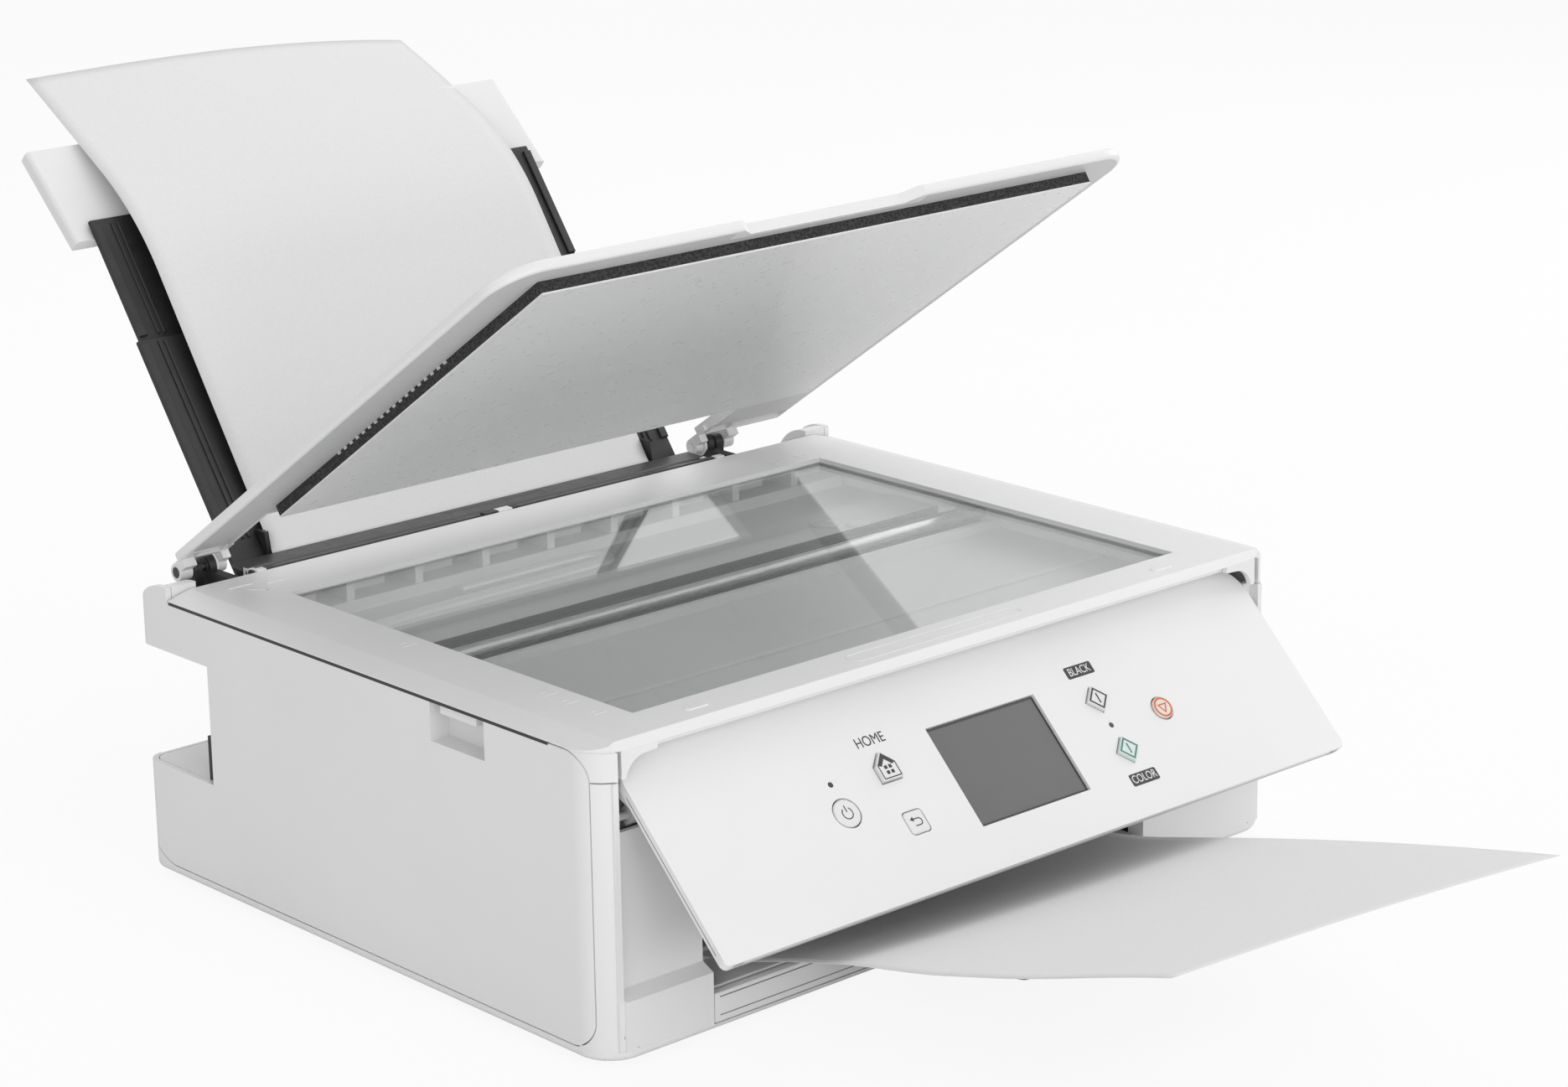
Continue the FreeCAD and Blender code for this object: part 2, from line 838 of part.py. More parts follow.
def make_cassette():
    """Paper cassette that slides out at the front, and the bridge that it runs under."""
    left = BAY_LEFT + d.seam_gap
    right = BAY_RIGHT - d.seam_gap
    wall = d.cassette_wall
    rear = FRONT + d.cassette_length
    outer = box((left, FRONT, CASSETTE_UNDER), (right, rear, CASSETTE_TOP))
    hollow = box(
        (left + wall, FRONT + d.cassette_front_thick, CASSETTE_UNDER + wall),
        (right - wall, rear - wall, CASSETTE_TOP + OVER),
    )
    node("cassette", cut(outer, hollow))
    front = RECESS_FACE + d.case_wall + d.fit_gap
    leg = d.bridge_leg
    top = box((BAY_LEFT - leg, front, BRIDGE_UNDER), (BAY_RIGHT + leg, front + d.bridge_length, BRIDGE_TOP))
    legs = [
        box((x, front, FLOOR_TOP), (x + leg, front + d.bridge_length, BRIDGE_UNDER))
        for x in (BAY_LEFT - leg, BAY_RIGHT)
    ]
    node("cassette_bridge", fuse(top, *legs))


def make_output():
    """Output tray, the flap at its end and the printed sheet that lies over them."""
    left = d.path_centre - d.tray_half
    right = d.path_centre + d.tray_half
    front = -d.tray_front
    knuckle = d.tray_knuckle
    axis_z = TRAY_UNDER + knuckle
    lug = d.tray_lug_width
    gap = d.fit_gap
    plate = box((left, front + knuckle + gap, TRAY_UNDER), (right, front + d.tray_length, TRAY_TOP))
    lugs = []
    for x in (left, right - lug):
        lugs.append(box((x, front, TRAY_UNDER), (x + lug, front + 2 * knuckle, TRAY_TOP)))
        lugs.append(rod("X", (x, front, axis_z), lug, knuckle))
    pin = rod("X", (left, front, axis_z), 2 * d.tray_half, d.flap_pin)
    node("output_tray", fuse(plate, pin, *lugs))
    flap_plate = box((left, front - d.flap_length, TRAY_UNDER), (right, front - knuckle - gap, TRAY_TOP))
    tongue_left = left + lug + gap
    tongue_right = right - lug - gap
    tongue = box((tongue_left, front - 2 * knuckle, TRAY_UNDER), (tongue_right, front, TRAY_TOP))
    barrel_width = tongue_right - tongue_left
    knuckle_rod = rod("X", (tongue_left, front, axis_z), barrel_width, knuckle)
    bore = rod("X", (tongue_left - OVER, front, axis_z), barrel_width + 2 * OVER, d.flap_pin + d.run_gap)
    flap = cut(fuse(flap_plate, tongue, knuckle_rod), bore)
    node("output_support", turn(flap, front, axis_z, d.flap_angle))
    exit_arc = d.exit_bend * d.exit_rise * math.pi / 180
    printed = bent_sheet(d.sheet_length - exit_arc - d.exit_run, d.exit_bend, d.exit_rise, d.exit_run)
    place(printed, (PATH_LEFT, -d.exit_bend_start, TRAY_TOP + gap))
    node("printed_sheet", printed)


def bent_sheet(first_run, radius, angle, last_run):
    """A thin sheet bent once about a line along X, starting flat along -Y from the bend's start.

    The first run lies behind the start, the bend turns the sheet up and the last run follows it.
    """
    thick = d.sheet_thick
    wide = d.sheet_width
    flat = box((0, 0, 0), (wide, first_run, thick))
    inner = radius - thick
    outer_arc = doc.addObject("Part::Cylinder", "arc")
    inner_arc = doc.addObject("Part::Cylinder", "arc")
    for arc, arc_radius, extra in ((outer_arc, radius, 0), (inner_arc, inner, OVER)):
        arc.Placement.Rotation = FreeCAD.Rotation(
            FreeCAD.Vector(0, 0, -1), FreeCAD.Vector(0, -1, 0), FreeCAD.Vector(-1, 0, 0), "XYZ"
        )
        bind(arc, "Radius", arc_radius)
        bind(arc, "Height", wide + 2 * extra)
        bind(arc, "Angle", angle)
        place(arc, (wide + extra, 0, radius))
    curved = cut(outer_arc, inner_arc)
    end = turn(box((0, -last_run, 0), (wide, 0, thick)), as_size(0), radius, angle)
    return fuse(flat, curved, end)


def tangent(angle):
    return sine(angle) / cosine(angle)


def rear_slope(foot_y, lean, height):
    """Depth of a leaning plane at a height, from where it crosses the height of the support's foot."""
    return foot_y + (as_size(height) - d.support_foot_z) * tangent(lean)


def lean_back(item):
    """Leans an upright piece back about the foot of the support."""
    return turn(item, d.support_foot_y, d.support_foot_z, d.support_lean)


def support_plate(half, low_reach, high_reach, depth):
    """An upright plate of the support, counted up from its foot and back from its front face."""
    front = d.support_foot_y + depth
    foot = d.support_foot_z
    rear = front + d.support_thick
    return box(
        (d.path_centre - half, front, foot + low_reach),
        (d.path_centre + half, rear, foot + high_reach),
    )


def make_support():
    """Telescopic paper support, its cover, the tray base behind it and the loaded sheet."""
    step = d.support_thick + d.fit_gap
    lower = support_plate(d.support_lower_half, -d.support_buried, d.support_lower_reach, 0)
    node("support_lower", lean_back(lower))
    upper_low = d.support_lower_reach - d.support_overlap
    upper = support_plate(d.support_upper_half, upper_low, d.support_upper_reach, step)
    node("support_upper", lean_back(upper))
    behind = 2 * step
    cover_y = d.support_foot_y + d.cover_reach * sine(d.support_lean) + behind * cosine(d.support_lean)
    cover_z = d.support_foot_z + d.cover_reach * cosine(d.support_lean) - behind * sine(d.support_lean)
    cover_left = d.path_centre - d.cover_half
    cover_right = d.path_centre + d.cover_half
    cover = prism(
        "Z",
        rectangle(cover_left, cover_y, cover_right, cover_y + d.cover_thick),
        cover_z,
        cover_z + d.cover_length,
        [(0, d.cover_round), (1, d.cover_round)],
    )
    node("support_cover", turn(cover, cover_y, cover_z, d.cover_lean))
    base_high = -(d.support_buried + d.tray_base_gap)
    base_low = base_high - d.tray_base_length
    base = lean_back(support_plate(d.support_lower_half, base_low, base_high, 2 * step))
    rib_top = d.support_foot_z - d.tray_rib_drop
    rib_depth = (2 * step + d.support_thick / 2) / cosine(d.support_lean)
    rib_front = rear_slope(d.support_foot_y, d.support_lean, rib_top) + rib_depth
    rib_half = d.tray_rib_width / 2
    ribs = [
        box(
            (x - rib_half, rib_front, rib_top - d.tray_rib_height),
            (x + rib_half, REAR - d.case_wall, rib_top),
        )
        for x in (d.path_centre - d.tray_rib_spread, d.path_centre + d.tray_rib_spread)
    ]
    node("rear_tray_base", fuse(base, *ribs))
    make_loaded_sheet()


def make_loaded_sheet():
    """The loaded sheet: a straight run up the support, then a bend back over its top."""
    slope = 90 - d.sheet_lean
    top_slope = slope - d.sheet_bend_angle
    arc = d.sheet_bend * d.sheet_bend_angle * math.pi / 180
    low_run = d.sheet_length - arc - d.sheet_top_run
    bent = bent_sheet(d.sheet_top_run, d.sheet_bend, d.sheet_bend_angle, low_run)
    flipped = doc.addObject("Part::Mirroring", "flipped")
    flipped.Source = bent
    flipped.Normal = FreeCAD.Vector(0, 0, 1)
    sheet_piece = group(flipped)
    sheet_piece.Placement.Rotation = FreeCAD.Rotation(FreeCAD.Vector(1, 0, 0), top_slope.value)
    bind(sheet_piece, "Placement.Rotation.Angle", top_slope)
    bend_y = rear_slope(d.sheet_foot_y, d.sheet_lean, d.sheet_bend_height)
    end_y = bend_y + d.sheet_bend * (sine(slope) - sine(top_slope))
    end_z = d.sheet_bend_height + d.sheet_bend * (cosine(top_slope) - cosine(slope))
    place(sheet_piece, (PATH_LEFT, end_y, end_z))
    node("loaded_sheet", sheet_piece)


def make_rear_frame():
    """Rear frame with its shoulders, the slot bar, the slot cover and the paper guides."""
    low = d.bay_ceiling + d.case_wall + d.fit_gap
    outer = HALF - d.case_wall - d.fit_gap
    inner = outer - d.shoulder_width
    rear = REAR - d.case_wall - d.fit_gap
    front = d.shoulder_front
    profile = rectangle(front, low, rear, d.shoulder_top)
    plan = prism(
        "Z", rectangle(-outer, front, -inner, rear), low, d.shoulder_top, [(3, d.rear_corner - d.case_wall)]
    )
    shoulder = common(prism("X", profile, -outer, -inner, [(2, d.shoulder_round)]), plan)
    shelves = [
        box((-inner, front, low), (SLOT_LEFT, rear, SHELF_TOP)),
        box((SLOT_RIGHT, front, low), (inner, rear, SHELF_TOP)),
    ]
    bar_low = d.rim_under - d.slot_bar_height
    bar = box((SLOT_LEFT, front, bar_low), (SLOT_RIGHT, BAR_REAR, d.rim_under))
    ear_left = d.path_centre - d.support_lower_half - d.fit_gap - d.slot_ear_thick
    ear = cut(
        box(
            (ear_left, BAR_REAR - d.slot_ear_round, bar_low),
            (ear_left + d.slot_ear_thick, SLOT_PIN_Y + d.slot_ear_round, SLOT_PIN_Z + d.slot_ear_round),
        ),
        rod(
            "X",
            (ear_left - OVER, SLOT_PIN_Y, SLOT_PIN_Z),
            d.slot_ear_thick + 2 * OVER,
            d.slot_pin + d.run_gap,
        ),
    )
    node("rear_frame", fuse(shoulder, mirrored(shoulder), *shelves, bar, ear, mirrored(ear, d.path_centre)))
    left = d.path_centre - d.support_lower_half
    right = d.path_centre + d.support_lower_half
    flat = box(
        (left, BAR_REAR + d.fit_gap, d.rim_under + d.fit_gap),
        (right, BAR_REAR + d.slot_cover_depth, d.rim_under + d.slot_cover_thick),
    )
    pin_reach = d.support_lower_half + d.slot_ear_thick
    pins = rod("X", (d.path_centre - pin_reach, SLOT_PIN_Y, SLOT_PIN_Z), 2 * pin_reach, d.slot_pin)
    node("feed_slot_cover", fuse(flat, pins))
    make_guides()


def make_guides():
    """The two paper guides, which stand at the edges of the loaded sheet."""
    foot = d.rim_under - d.guide_drop
    near = BAR_REAR + d.fit_gap
    top = d.guide_top
    shelf = d.rim_under - d.guide_shelf_drop
    past_cover = BAR_REAR + d.slot_cover_depth + d.guide_step
    foot_rear = rear_slope(d.support_foot_y, d.support_lean, foot) - d.guide_clear
    top_rear = rear_slope(d.support_foot_y, d.support_lean, top) - d.guide_clear
    profile = [
        (near, foot),
        (foot_rear, foot),
        (top_rear, top),
        (top_rear - d.guide_head, top),
        (past_cover, shelf),
        (near, shelf),
    ]
    outside = PATH_LEFT - d.fit_gap
    guide = prism("X", profile, outside - d.guide_thick, outside)
    node("left_paper_guide", guide)
    node("right_paper_guide", mirrored(guide, d.path_centre))


def left_hinge():
    """Middle of the left hinge. The right hinge mirrors it about the middle of the paper path."""
    return d.path_centre - d.hinge_offset


def barrel(start_x, width, radius, *more):
    """A pierced barrel on the hinge line, joined to the blocks that carry it."""
    body = fuse(rod("X", (start_x, d.hinge_y, d.hinge_z), width, radius), *more)
    bore = rod("X", (start_x - OVER, d.hinge_y, d.hinge_z), width + 2 * OVER, d.hinge_pin + d.run_gap)
    return cut(body, bore)


def make_hinges():
    """Posts on the case, arms on the scanner and the pins through them. The right side mirrors the left."""
    middle = left_hinge()
    radius = d.post_barrel
    post_x = middle - d.post_width - d.hinge_side_gap
    post = barrel(
        post_x,
        d.post_width,
        radius,
        box((post_x, d.hinge_y - radius, SHELF_TOP), (post_x + d.post_width, d.hinge_y + radius, d.hinge_z)),
    )
    node("hinge_posts", group(post, mirrored(post, d.path_centre)))
    arm_x = middle + d.arm_set
    arm = barrel(
        arm_x,
        d.arm_width,
        radius,
        box((arm_x, d.tub_rear, d.deck_under - d.arm_drop), (arm_x + d.arm_width, d.hinge_y, d.deck_under)),
        box((arm_x, d.deck_rear, d.deck_under), (arm_x + d.arm_width, d.hinge_y, d.deck_top)),
    )
    node("scanner_hinge_arms", group(arm, mirrored(arm, d.path_centre)))
    pin = rod("X", (middle - d.lug_reach, d.hinge_y, d.hinge_z), 2 * d.lug_reach, d.hinge_pin)
    node("hinge_pins", group(pin, mirrored(pin, d.path_centre)))


def make_scanner():
    """Scanner unit: bezel, tub, glass, guide rod, belt and the sensor bar that runs on the rod."""
    bevel_foot = d.rim_under + d.rim_edge
    lip = FRONT + d.lip_overhang / 2
    across = prism(
        "Y",
        [
            (-HALF, d.rim_under),
            (HALF, d.rim_under),
            (HALF, bevel_foot),
            (HALF - d.deck_bevel, d.deck_top),
            (d.deck_bevel - HALF, d.deck_top),
            (-HALF, bevel_foot),
        ],
        FRONT - OVER,
        d.deck_rear,
    )
    along = prism(
        "X",
        [
            (lip, d.rim_under),
            (d.deck_rear, d.rim_under),
            (d.deck_rear, d.deck_top),
            (lip + d.lip_overhang, d.deck_top),
        ],
        -HALF,
        HALF,
    )
    plan = prism(
        "Z",
        rectangle(-HALF, lip, HALF, d.deck_rear),
        d.rim_under,
        d.deck_top,
        [(0, d.corner_radius), (1, d.corner_radius)],
    )
    under_half = d.tub_half + d.tub_seat
    under = box((-under_half, lip + d.lip_overhang, d.deck_under), (under_half, d.deck_rear, d.rim_under))
    gap = d.seam_gap
    seam = -(d.cover_front_seam + gap)
    cap_depth = d.cover_front_round + 2 * gap
    keep_out = prism(
        "X",
        rectangle(seam, d.cap_under - cap_depth, 0, d.cover_top + gap),
        -HALF - OVER,
        HALF + OVER,
        [(3, d.cover_front_round + gap)],
    )
    cap = cut(
        common(
            case_ring(d.cap_under, d.rim_under),
            box((-HALF - OVER, FRONT - OVER, d.cap_under), (-PILLAR_EDGE, seam + cap_depth, d.rim_under)),
        ),
        keep_out,
    )
    grip_middle = d.grip_length / 2 - d.grip_front
    tab = box(
        (d.tab_inset - HALF, grip_middle - d.tab_half, d.rim_under - d.tab_height),
        (d.tab_inset + d.tab_thick - HALF, grip_middle + d.tab_half, d.rim_under),
    )
    seat = d.glass_seat
    window = box(
        (-WINDOW_HALF, WINDOW_FRONT, d.deck_under - OVER), (WINDOW_HALF, d.window_rear, d.deck_top + OVER)
    )
    glass_seat = box(
        (-WINDOW_HALF - seat, WINDOW_FRONT - seat, d.deck_under - OVER),
        (WINDOW_HALF + seat, d.window_rear + seat, GLASS_TOP),
    )
    deck = fuse(common(across, along, plan), under, cap, mirrored(cap), tab, mirrored(tab))
    node("scanner_bezel", cut(deck, window, glass_seat))
    near = d.glass_seat - d.run_gap
    glass = box(
        (-WINDOW_HALF - near, WINDOW_FRONT - near, GLASS_UNDER),
        (WINDOW_HALF + near, d.window_rear + near, GLASS_TOP),
    )
    node("scan_glass", glass)
    make_scan_drive()


def make_scan_drive():
    """The tub under the glass with the sensor bar, its guide rod and its belt."""
    wall = d.tub_wall
    inner_half = d.tub_half - wall
    tub = cut(
        box((-d.tub_half, -d.tub_front, d.tub_under), (d.tub_half, d.tub_rear, d.deck_under)),
        box(
            (-inner_half, wall - d.tub_front, d.tub_under + wall),
            (inner_half, d.tub_rear - wall, d.deck_under + OVER),
        ),
    )
    floor = d.tub_under + wall
    rod_y = d.scan_rod_y
    rod_z = floor + d.scan_rod_lift + d.scan_rod_radius
    belt_y = rod_y + d.scan_belt_step
    rail_top = floor + d.scan_rail_height
    rails = [
        box((-inner_half, y, floor), (inner_half, y + d.scan_rail_thick, rail_top))
        for y in (rod_y - d.scan_rail_front, rod_y + d.scan_rail_rear)
    ]
    pulley_x = inner_half - d.scan_pulley_inset
    posts = [
        rod("Z", (x, belt_y, floor), d.scan_post_height, d.scan_pulley_radius) for x in (-pulley_x, pulley_x)
    ]
    node("scanner_tub", fuse(tub, *rails, *posts))
    node("scan_rod", rod("X", (-inner_half, rod_y, rod_z), 2 * inner_half, d.scan_rod_radius))
    belt_low = floor + d.scan_belt_lift
    belt_high = belt_low + d.scan_belt_width
    belt_inside = d.scan_pulley_radius + d.run_gap
    node("scan_belt", belt_loop("Z", pulley_x, belt_y, belt_inside, d.scan_belt_thick, belt_low, belt_high))
    left = d.fit_gap - inner_half
    right = left + d.scan_head_width
    room = belt_inside + d.scan_belt_thick + d.scan_belt_room
    head = cut(
        box(
            (left, d.scan_head_front - d.tub_front, rail_top + d.fit_gap),
            (right, d.window_rear + d.scan_head_rear, d.deck_under - d.fit_gap),
        ),
        rod("X", (left - OVER, rod_y, rod_z), d.scan_head_width + 2 * OVER, d.scan_rod_radius + d.run_gap),
        box(
            (left - OVER, belt_y - room, floor),
            (right + OVER, belt_y + room, belt_high + d.scan_belt_room),
        ),
    )
    node("scan_carriage", head)


def belt_loop(axis, half, middle, radius, thick, low, high):
    """A flat belt round two pulleys, which stand at half to each side along X."""
    outer = radius + thick

    def stadium(reach, start, end):
        if axis == "Z":
            straight = box((-half, middle - reach, start), (half, middle + reach, end))
            ends = [rod("Z", (side * half, middle, start), as_size(end) - start, reach) for side in (-1, 1)]
        else:
            straight = box((-half, start, middle - reach), (half, end, middle + reach))
            ends = [rod("Y", (side * half, start, middle), as_size(end) - start, reach) for side in (-1, 1)]
        return fuse(straight, *ends)

    return cut(stadium(outer, low, high), stadium(as_size(radius), low - OVER, high + OVER))


def open_lid(item):
    return turn(item, d.hinge_y, d.hinge_z, d.lid_angle)


def lies_flat(edge, heights):
    """Whether an edge lies level at one of the heights."""
    limits = edge.BoundBox
    return limits.ZLength < NEAR and any(abs(limits.ZMin - height) < NEAR for height in heights)


def at_arms(edge):
    """Whether an edge belongs to the lid's hinge arms or to the gap between them."""
    return edge.BoundBox.YMin > SIZES["lid_rear"] - NEAR


def lid_plan(inset):
    """Outline of the lid with its two hinge arms, drawn in by an inset."""
    half = d.lid_half - inset
    arm_rear = d.lid_arm_rear - inset
    rear = d.lid_rear - inset
    return [
        (-half, inset - d.lid_front),
        (half, inset - d.lid_front),
        (half, arm_rear),
        (SLOT_RIGHT + inset, arm_rear),
        (SLOT_RIGHT + inset, rear),
        (SLOT_LEFT - inset, rear),
        (SLOT_LEFT - inset, arm_rear),
        (-half, arm_rear),
    ]


def make_lid():
    """Document lid: shell with hinge lugs, liner, foam and white pad, modelled shut and then opened."""
    wall = d.lid_wall
    shell = prism(
        "Z", lid_plan(as_size(0)), d.lid_under, d.lid_top, [(0, d.lid_corner), (1, d.lid_corner)]
    )
    rim = (SIZES["lid_top"], SIZES["lid_under"])
    shell = soften(shell, d.lid_edge_round, lambda edge: lies_flat(edge, rim) and not at_arms(edge))
    inner_round = d.lid_corner - wall
    hollow = prism(
        "Z", lid_plan(wall), d.lid_under - OVER, d.lid_top - wall, [(0, inner_round), (1, inner_round)]
    )
    notch_left = d.notch_centre - d.notch_half
    notch_right = d.notch_centre + d.notch_half
    notch_rear = d.notch_depth - d.lid_front
    notch = prism(
        "Z",
        [
            (notch_left - OVER, -d.lid_front - OVER),
            (notch_right + OVER, -d.lid_front - OVER),
            (notch_right - d.notch_slant, notch_rear),
            (notch_left + d.notch_slant, notch_rear),
        ],
        d.lid_under - OVER,
        d.lid_top + OVER,
    )
    behind_notch = box(
        (notch_left - wall, -d.lid_front, d.lid_under - 2 * OVER),
        (notch_right + wall, notch_rear + wall, d.lid_top),
    )
    middle = left_hinge()
    lugs = []
    for start, width in (
        (middle - d.lug_reach, d.lug_outer_width),
        (middle + d.lug_reach - d.lug_inner_width, d.lug_inner_width),
    ):
        rib = box(
            (start, d.lid_arm_rear - wall, d.hinge_z - d.lug_drop),
            (start + width, d.hinge_y, d.hinge_z + d.hinge_barrel),
        )
        web = box(
            (start, d.lid_arm_rear - d.lid_web_set - d.lid_web, d.lid_under),
            (start + width, d.lid_arm_rear - d.lid_web_set, d.lid_top - wall),
        )
        lug = barrel(start, width, d.hinge_barrel, rib, web)
        lugs += [lug, mirrored(lug, d.path_centre)]
    body = fuse(cut(shell, cut(hollow, behind_notch), notch), *lugs)
    node("lid_shell", open_lid(body))
    liner_inset = wall + d.run_gap
    arm_clear = d.lid_arm_rear - d.liner_set
    liner = common(
        prism("Z", lid_plan(liner_inset), d.liner_under, d.liner_under + d.liner_thick),
        box(
            (-d.lid_half, -d.lid_front, d.liner_under - OVER),
            (d.lid_half, arm_clear, d.lid_top),
        ),
    )
    around_notch = box(
        (notch_left - liner_inset, -d.lid_front, d.liner_under - OVER),
        (notch_right + liner_inset, notch_rear + liner_inset, d.lid_top),
    )
    corner = d.lid_corner - liner_inset
    liner_half = d.lid_half - liner_inset
    plan = prism(
        "Z",
        rectangle(-liner_half, liner_inset - d.lid_front, liner_half, d.lid_arm_rear),
        d.liner_under - OVER,
        d.lid_top,
        [(0, corner), (1, corner)],
    )
    node("lid_liner", open_lid(cut(common(liner, plan), around_notch)))
    foam_under = d.liner_under - d.foam_thick
    foam = box((-d.foam_half, -d.foam_front, foam_under), (d.foam_half, d.foam_rear, d.liner_under))
    node("lid_foam", open_lid(foam))
    pad_under = foam_under - d.pad_thick
    pad = box((-d.foam_half, -d.foam_front, pad_under), (d.foam_half, d.foam_rear, foam_under))
    node("lid_pad", open_lid(pad))


def tilt_panel(item):
    return turn(item, -d.panel_pivot_y, d.panel_pivot_z, d.panel_angle)


def panel_block(centre_x, centre_rise, width, height, front, rear):
    """A box on the upright panel, placed by its centre across and up the face."""
    low_z = PANEL_FOOT + centre_rise - height / 2
    return box(
        (centre_x - width / 2, PANEL_FACE + front, low_z),
        (centre_x + width / 2, PANEL_FACE + rear, low_z + height),
    )


def panel_disc(centre_x, centre_rise, radius, front, rear):
    return rod("Y", (centre_x, PANEL_FACE + front, PANEL_FOOT + centre_rise), as_size(rear) - front, radius)


def button_shapes(grow, front, rear):
    """Each button's solid, grown by a gap for its hole in the panel."""
    low_row = d.button_row - d.button_rise
    high_row = d.button_row + d.button_rise
    return {
        "power_button": panel_disc(-d.power_x, d.button_row, d.power_radius + grow, front, rear),
        "stop_button": panel_disc(d.stop_x, d.button_row, d.stop_radius + grow, front, rear),
        "home_button": panel_house(-d.menu_column, high_row, grow, front, rear),
        "back_button": panel_key(-d.menu_column, low_row, grow, front, rear),
        "black_start_button": panel_diamond(d.button_column, high_row, grow, front, rear),
        "colour_start_button": panel_diamond(d.button_column, low_row, grow, front, rear),
    }


def panel_house(centre_x, centre_rise, grow, front, rear):
    """A button shaped like a small house."""
    half = d.home_half + grow
    middle = PANEL_FOOT + centre_rise
    points = [
        (centre_x - half, middle - d.home_below - grow),
        (centre_x + half, middle - d.home_below - grow),
        (centre_x + half, middle + d.home_eaves + grow),
        (centre_x, middle + d.home_peak + grow),
        (centre_x - half, middle + d.home_eaves + grow),
    ]
    return prism("Y", points, PANEL_FACE + front, PANEL_FACE + rear)


def panel_key(centre_x, centre_rise, grow, front, rear):
    """A square button with rounded corners."""
    half = d.back_half + grow
    middle = PANEL_FOOT + centre_rise
    corner = d.back_round + grow
    return prism(
        "Y",
        rectangle(centre_x - half, middle - half, centre_x + half, middle + half),
        PANEL_FACE + front,
        PANEL_FACE + rear,
        [(number, corner) for number in range(4)],
    )


def panel_diamond(centre_x, centre_rise, grow, front, rear):
    reach = d.diamond_half + grow
    middle = PANEL_FOOT + centre_rise
    points = [
        (centre_x, middle - reach),
        (centre_x + reach, middle),
        (centre_x, middle + reach),
        (centre_x - reach, middle),
    ]
    return prism("Y", points, PANEL_FACE + front, PANEL_FACE + rear)


def make_panel():
    """Control panel: face, back with its axles, screen, lamps and buttons, modelled shut and then tilted."""
    thick = d.panel_thick
    face = prism(
        "Y",
        rectangle(-d.panel_half, PANEL_FOOT, d.panel_half, PANEL_TOP),
        PANEL_FACE,
        PANEL_FACE + thick,
        [(0, d.panel_foot_corner), (1, d.panel_foot_corner), (2, d.panel_corner), (3, d.panel_corner)],
    )
    gap = d.button_gap
    behind = thick + OVER
    screen_hole = panel_block(
        d.screen_centre, d.button_row, d.screen_width, d.screen_height, -OVER, behind
    )
    lamps = ((-d.power_x, d.lamp_rise), (d.button_column, d.button_row))
    holes = [panel_disc(x, rise, d.lamp_radius, -OVER, behind) for x, rise in lamps]
    holes += button_shapes(gap, -OVER, behind).values()
    node("panel_shell", tilt_panel(cut(face, screen_hole, *holes)))
    screen = panel_block(
        d.screen_centre,
        d.button_row,
        d.screen_width - d.run_gap,
        d.screen_height - d.run_gap,
        d.screen_drop,
        thick,
    )
    node("touch_screen", tilt_panel(screen))
    lights = [panel_disc(x, rise, d.lamp_radius - d.run_gap / 2, 0, thick) for x, rise in lamps]
    node("status_lamps", tilt_panel(group(*lights)))
    for name, shape in button_shapes(0, -d.button_proud, thick - d.button_short).items():
        node(name, tilt_panel(shape))
    inset = d.panel_back_inset
    back = box(
        (inset - d.panel_half, PANEL_FACE + thick, PANEL_FOOT + inset),
        (d.panel_half - inset, PANEL_FACE + thick + d.panel_back_thick, PANEL_TOP - inset),
    )
    axle = d.panel_axle
    around = axle + d.housing_wall
    housing = box(
        (inset - d.panel_half, PANEL_FACE + thick, d.panel_pivot_z - around),
        (d.panel_half - inset, around - d.panel_pivot_y, d.panel_pivot_z + around),
    )
    reach = PILLAR_EDGE + d.case_wall - d.fit_gap
    axles = rod("X", (-reach, -d.panel_pivot_y, d.panel_pivot_z), 2 * reach, axle)
    cheek = panel_cheek()
    node("panel_back", tilt_panel(fuse(back, housing, axles, cheek, mirrored(cheek))))


def panel_cheek():
    """Wedge that closes the left end of the panel behind its upper corner."""
    rear_face = PANEL_FACE + d.panel_thick
    wedge = prism(
        "X",
        [
            (rear_face, d.panel_pivot_z - d.cheek_low),
            (rear_face + d.cheek_depth, PANEL_TOP),
            (rear_face, PANEL_TOP),
        ],
        -d.panel_half,
        d.panel_back_inset - d.panel_half + d.run_gap,
    )
    outline = prism(
        "Y",
        rectangle(-d.panel_half, PANEL_FOOT, d.panel_half, PANEL_TOP),
        rear_face,
        rear_face + d.cheek_depth,
        [(2, d.panel_corner), (3, d.panel_corner)],
    )
    return common(wedge, outline)


def panel_ear():
    """Bearing for the panel's axle, behind the front frame's left pillar."""
    wall = d.case_wall
    axle = d.panel_axle
    around = axle + d.ear_wall
    ear = box(
        (-PILLAR_EDGE - wall, RECESS_FACE, d.panel_pivot_z - around),
        (-PILLAR_EDGE, around - d.panel_pivot_y, d.panel_pivot_z + around),
    )
    start = (-PILLAR_EDGE - wall - OVER, -d.panel_pivot_y, d.panel_pivot_z)
    return ear, rod("X", start, d.pillar_width + wall, axle + d.run_gap)


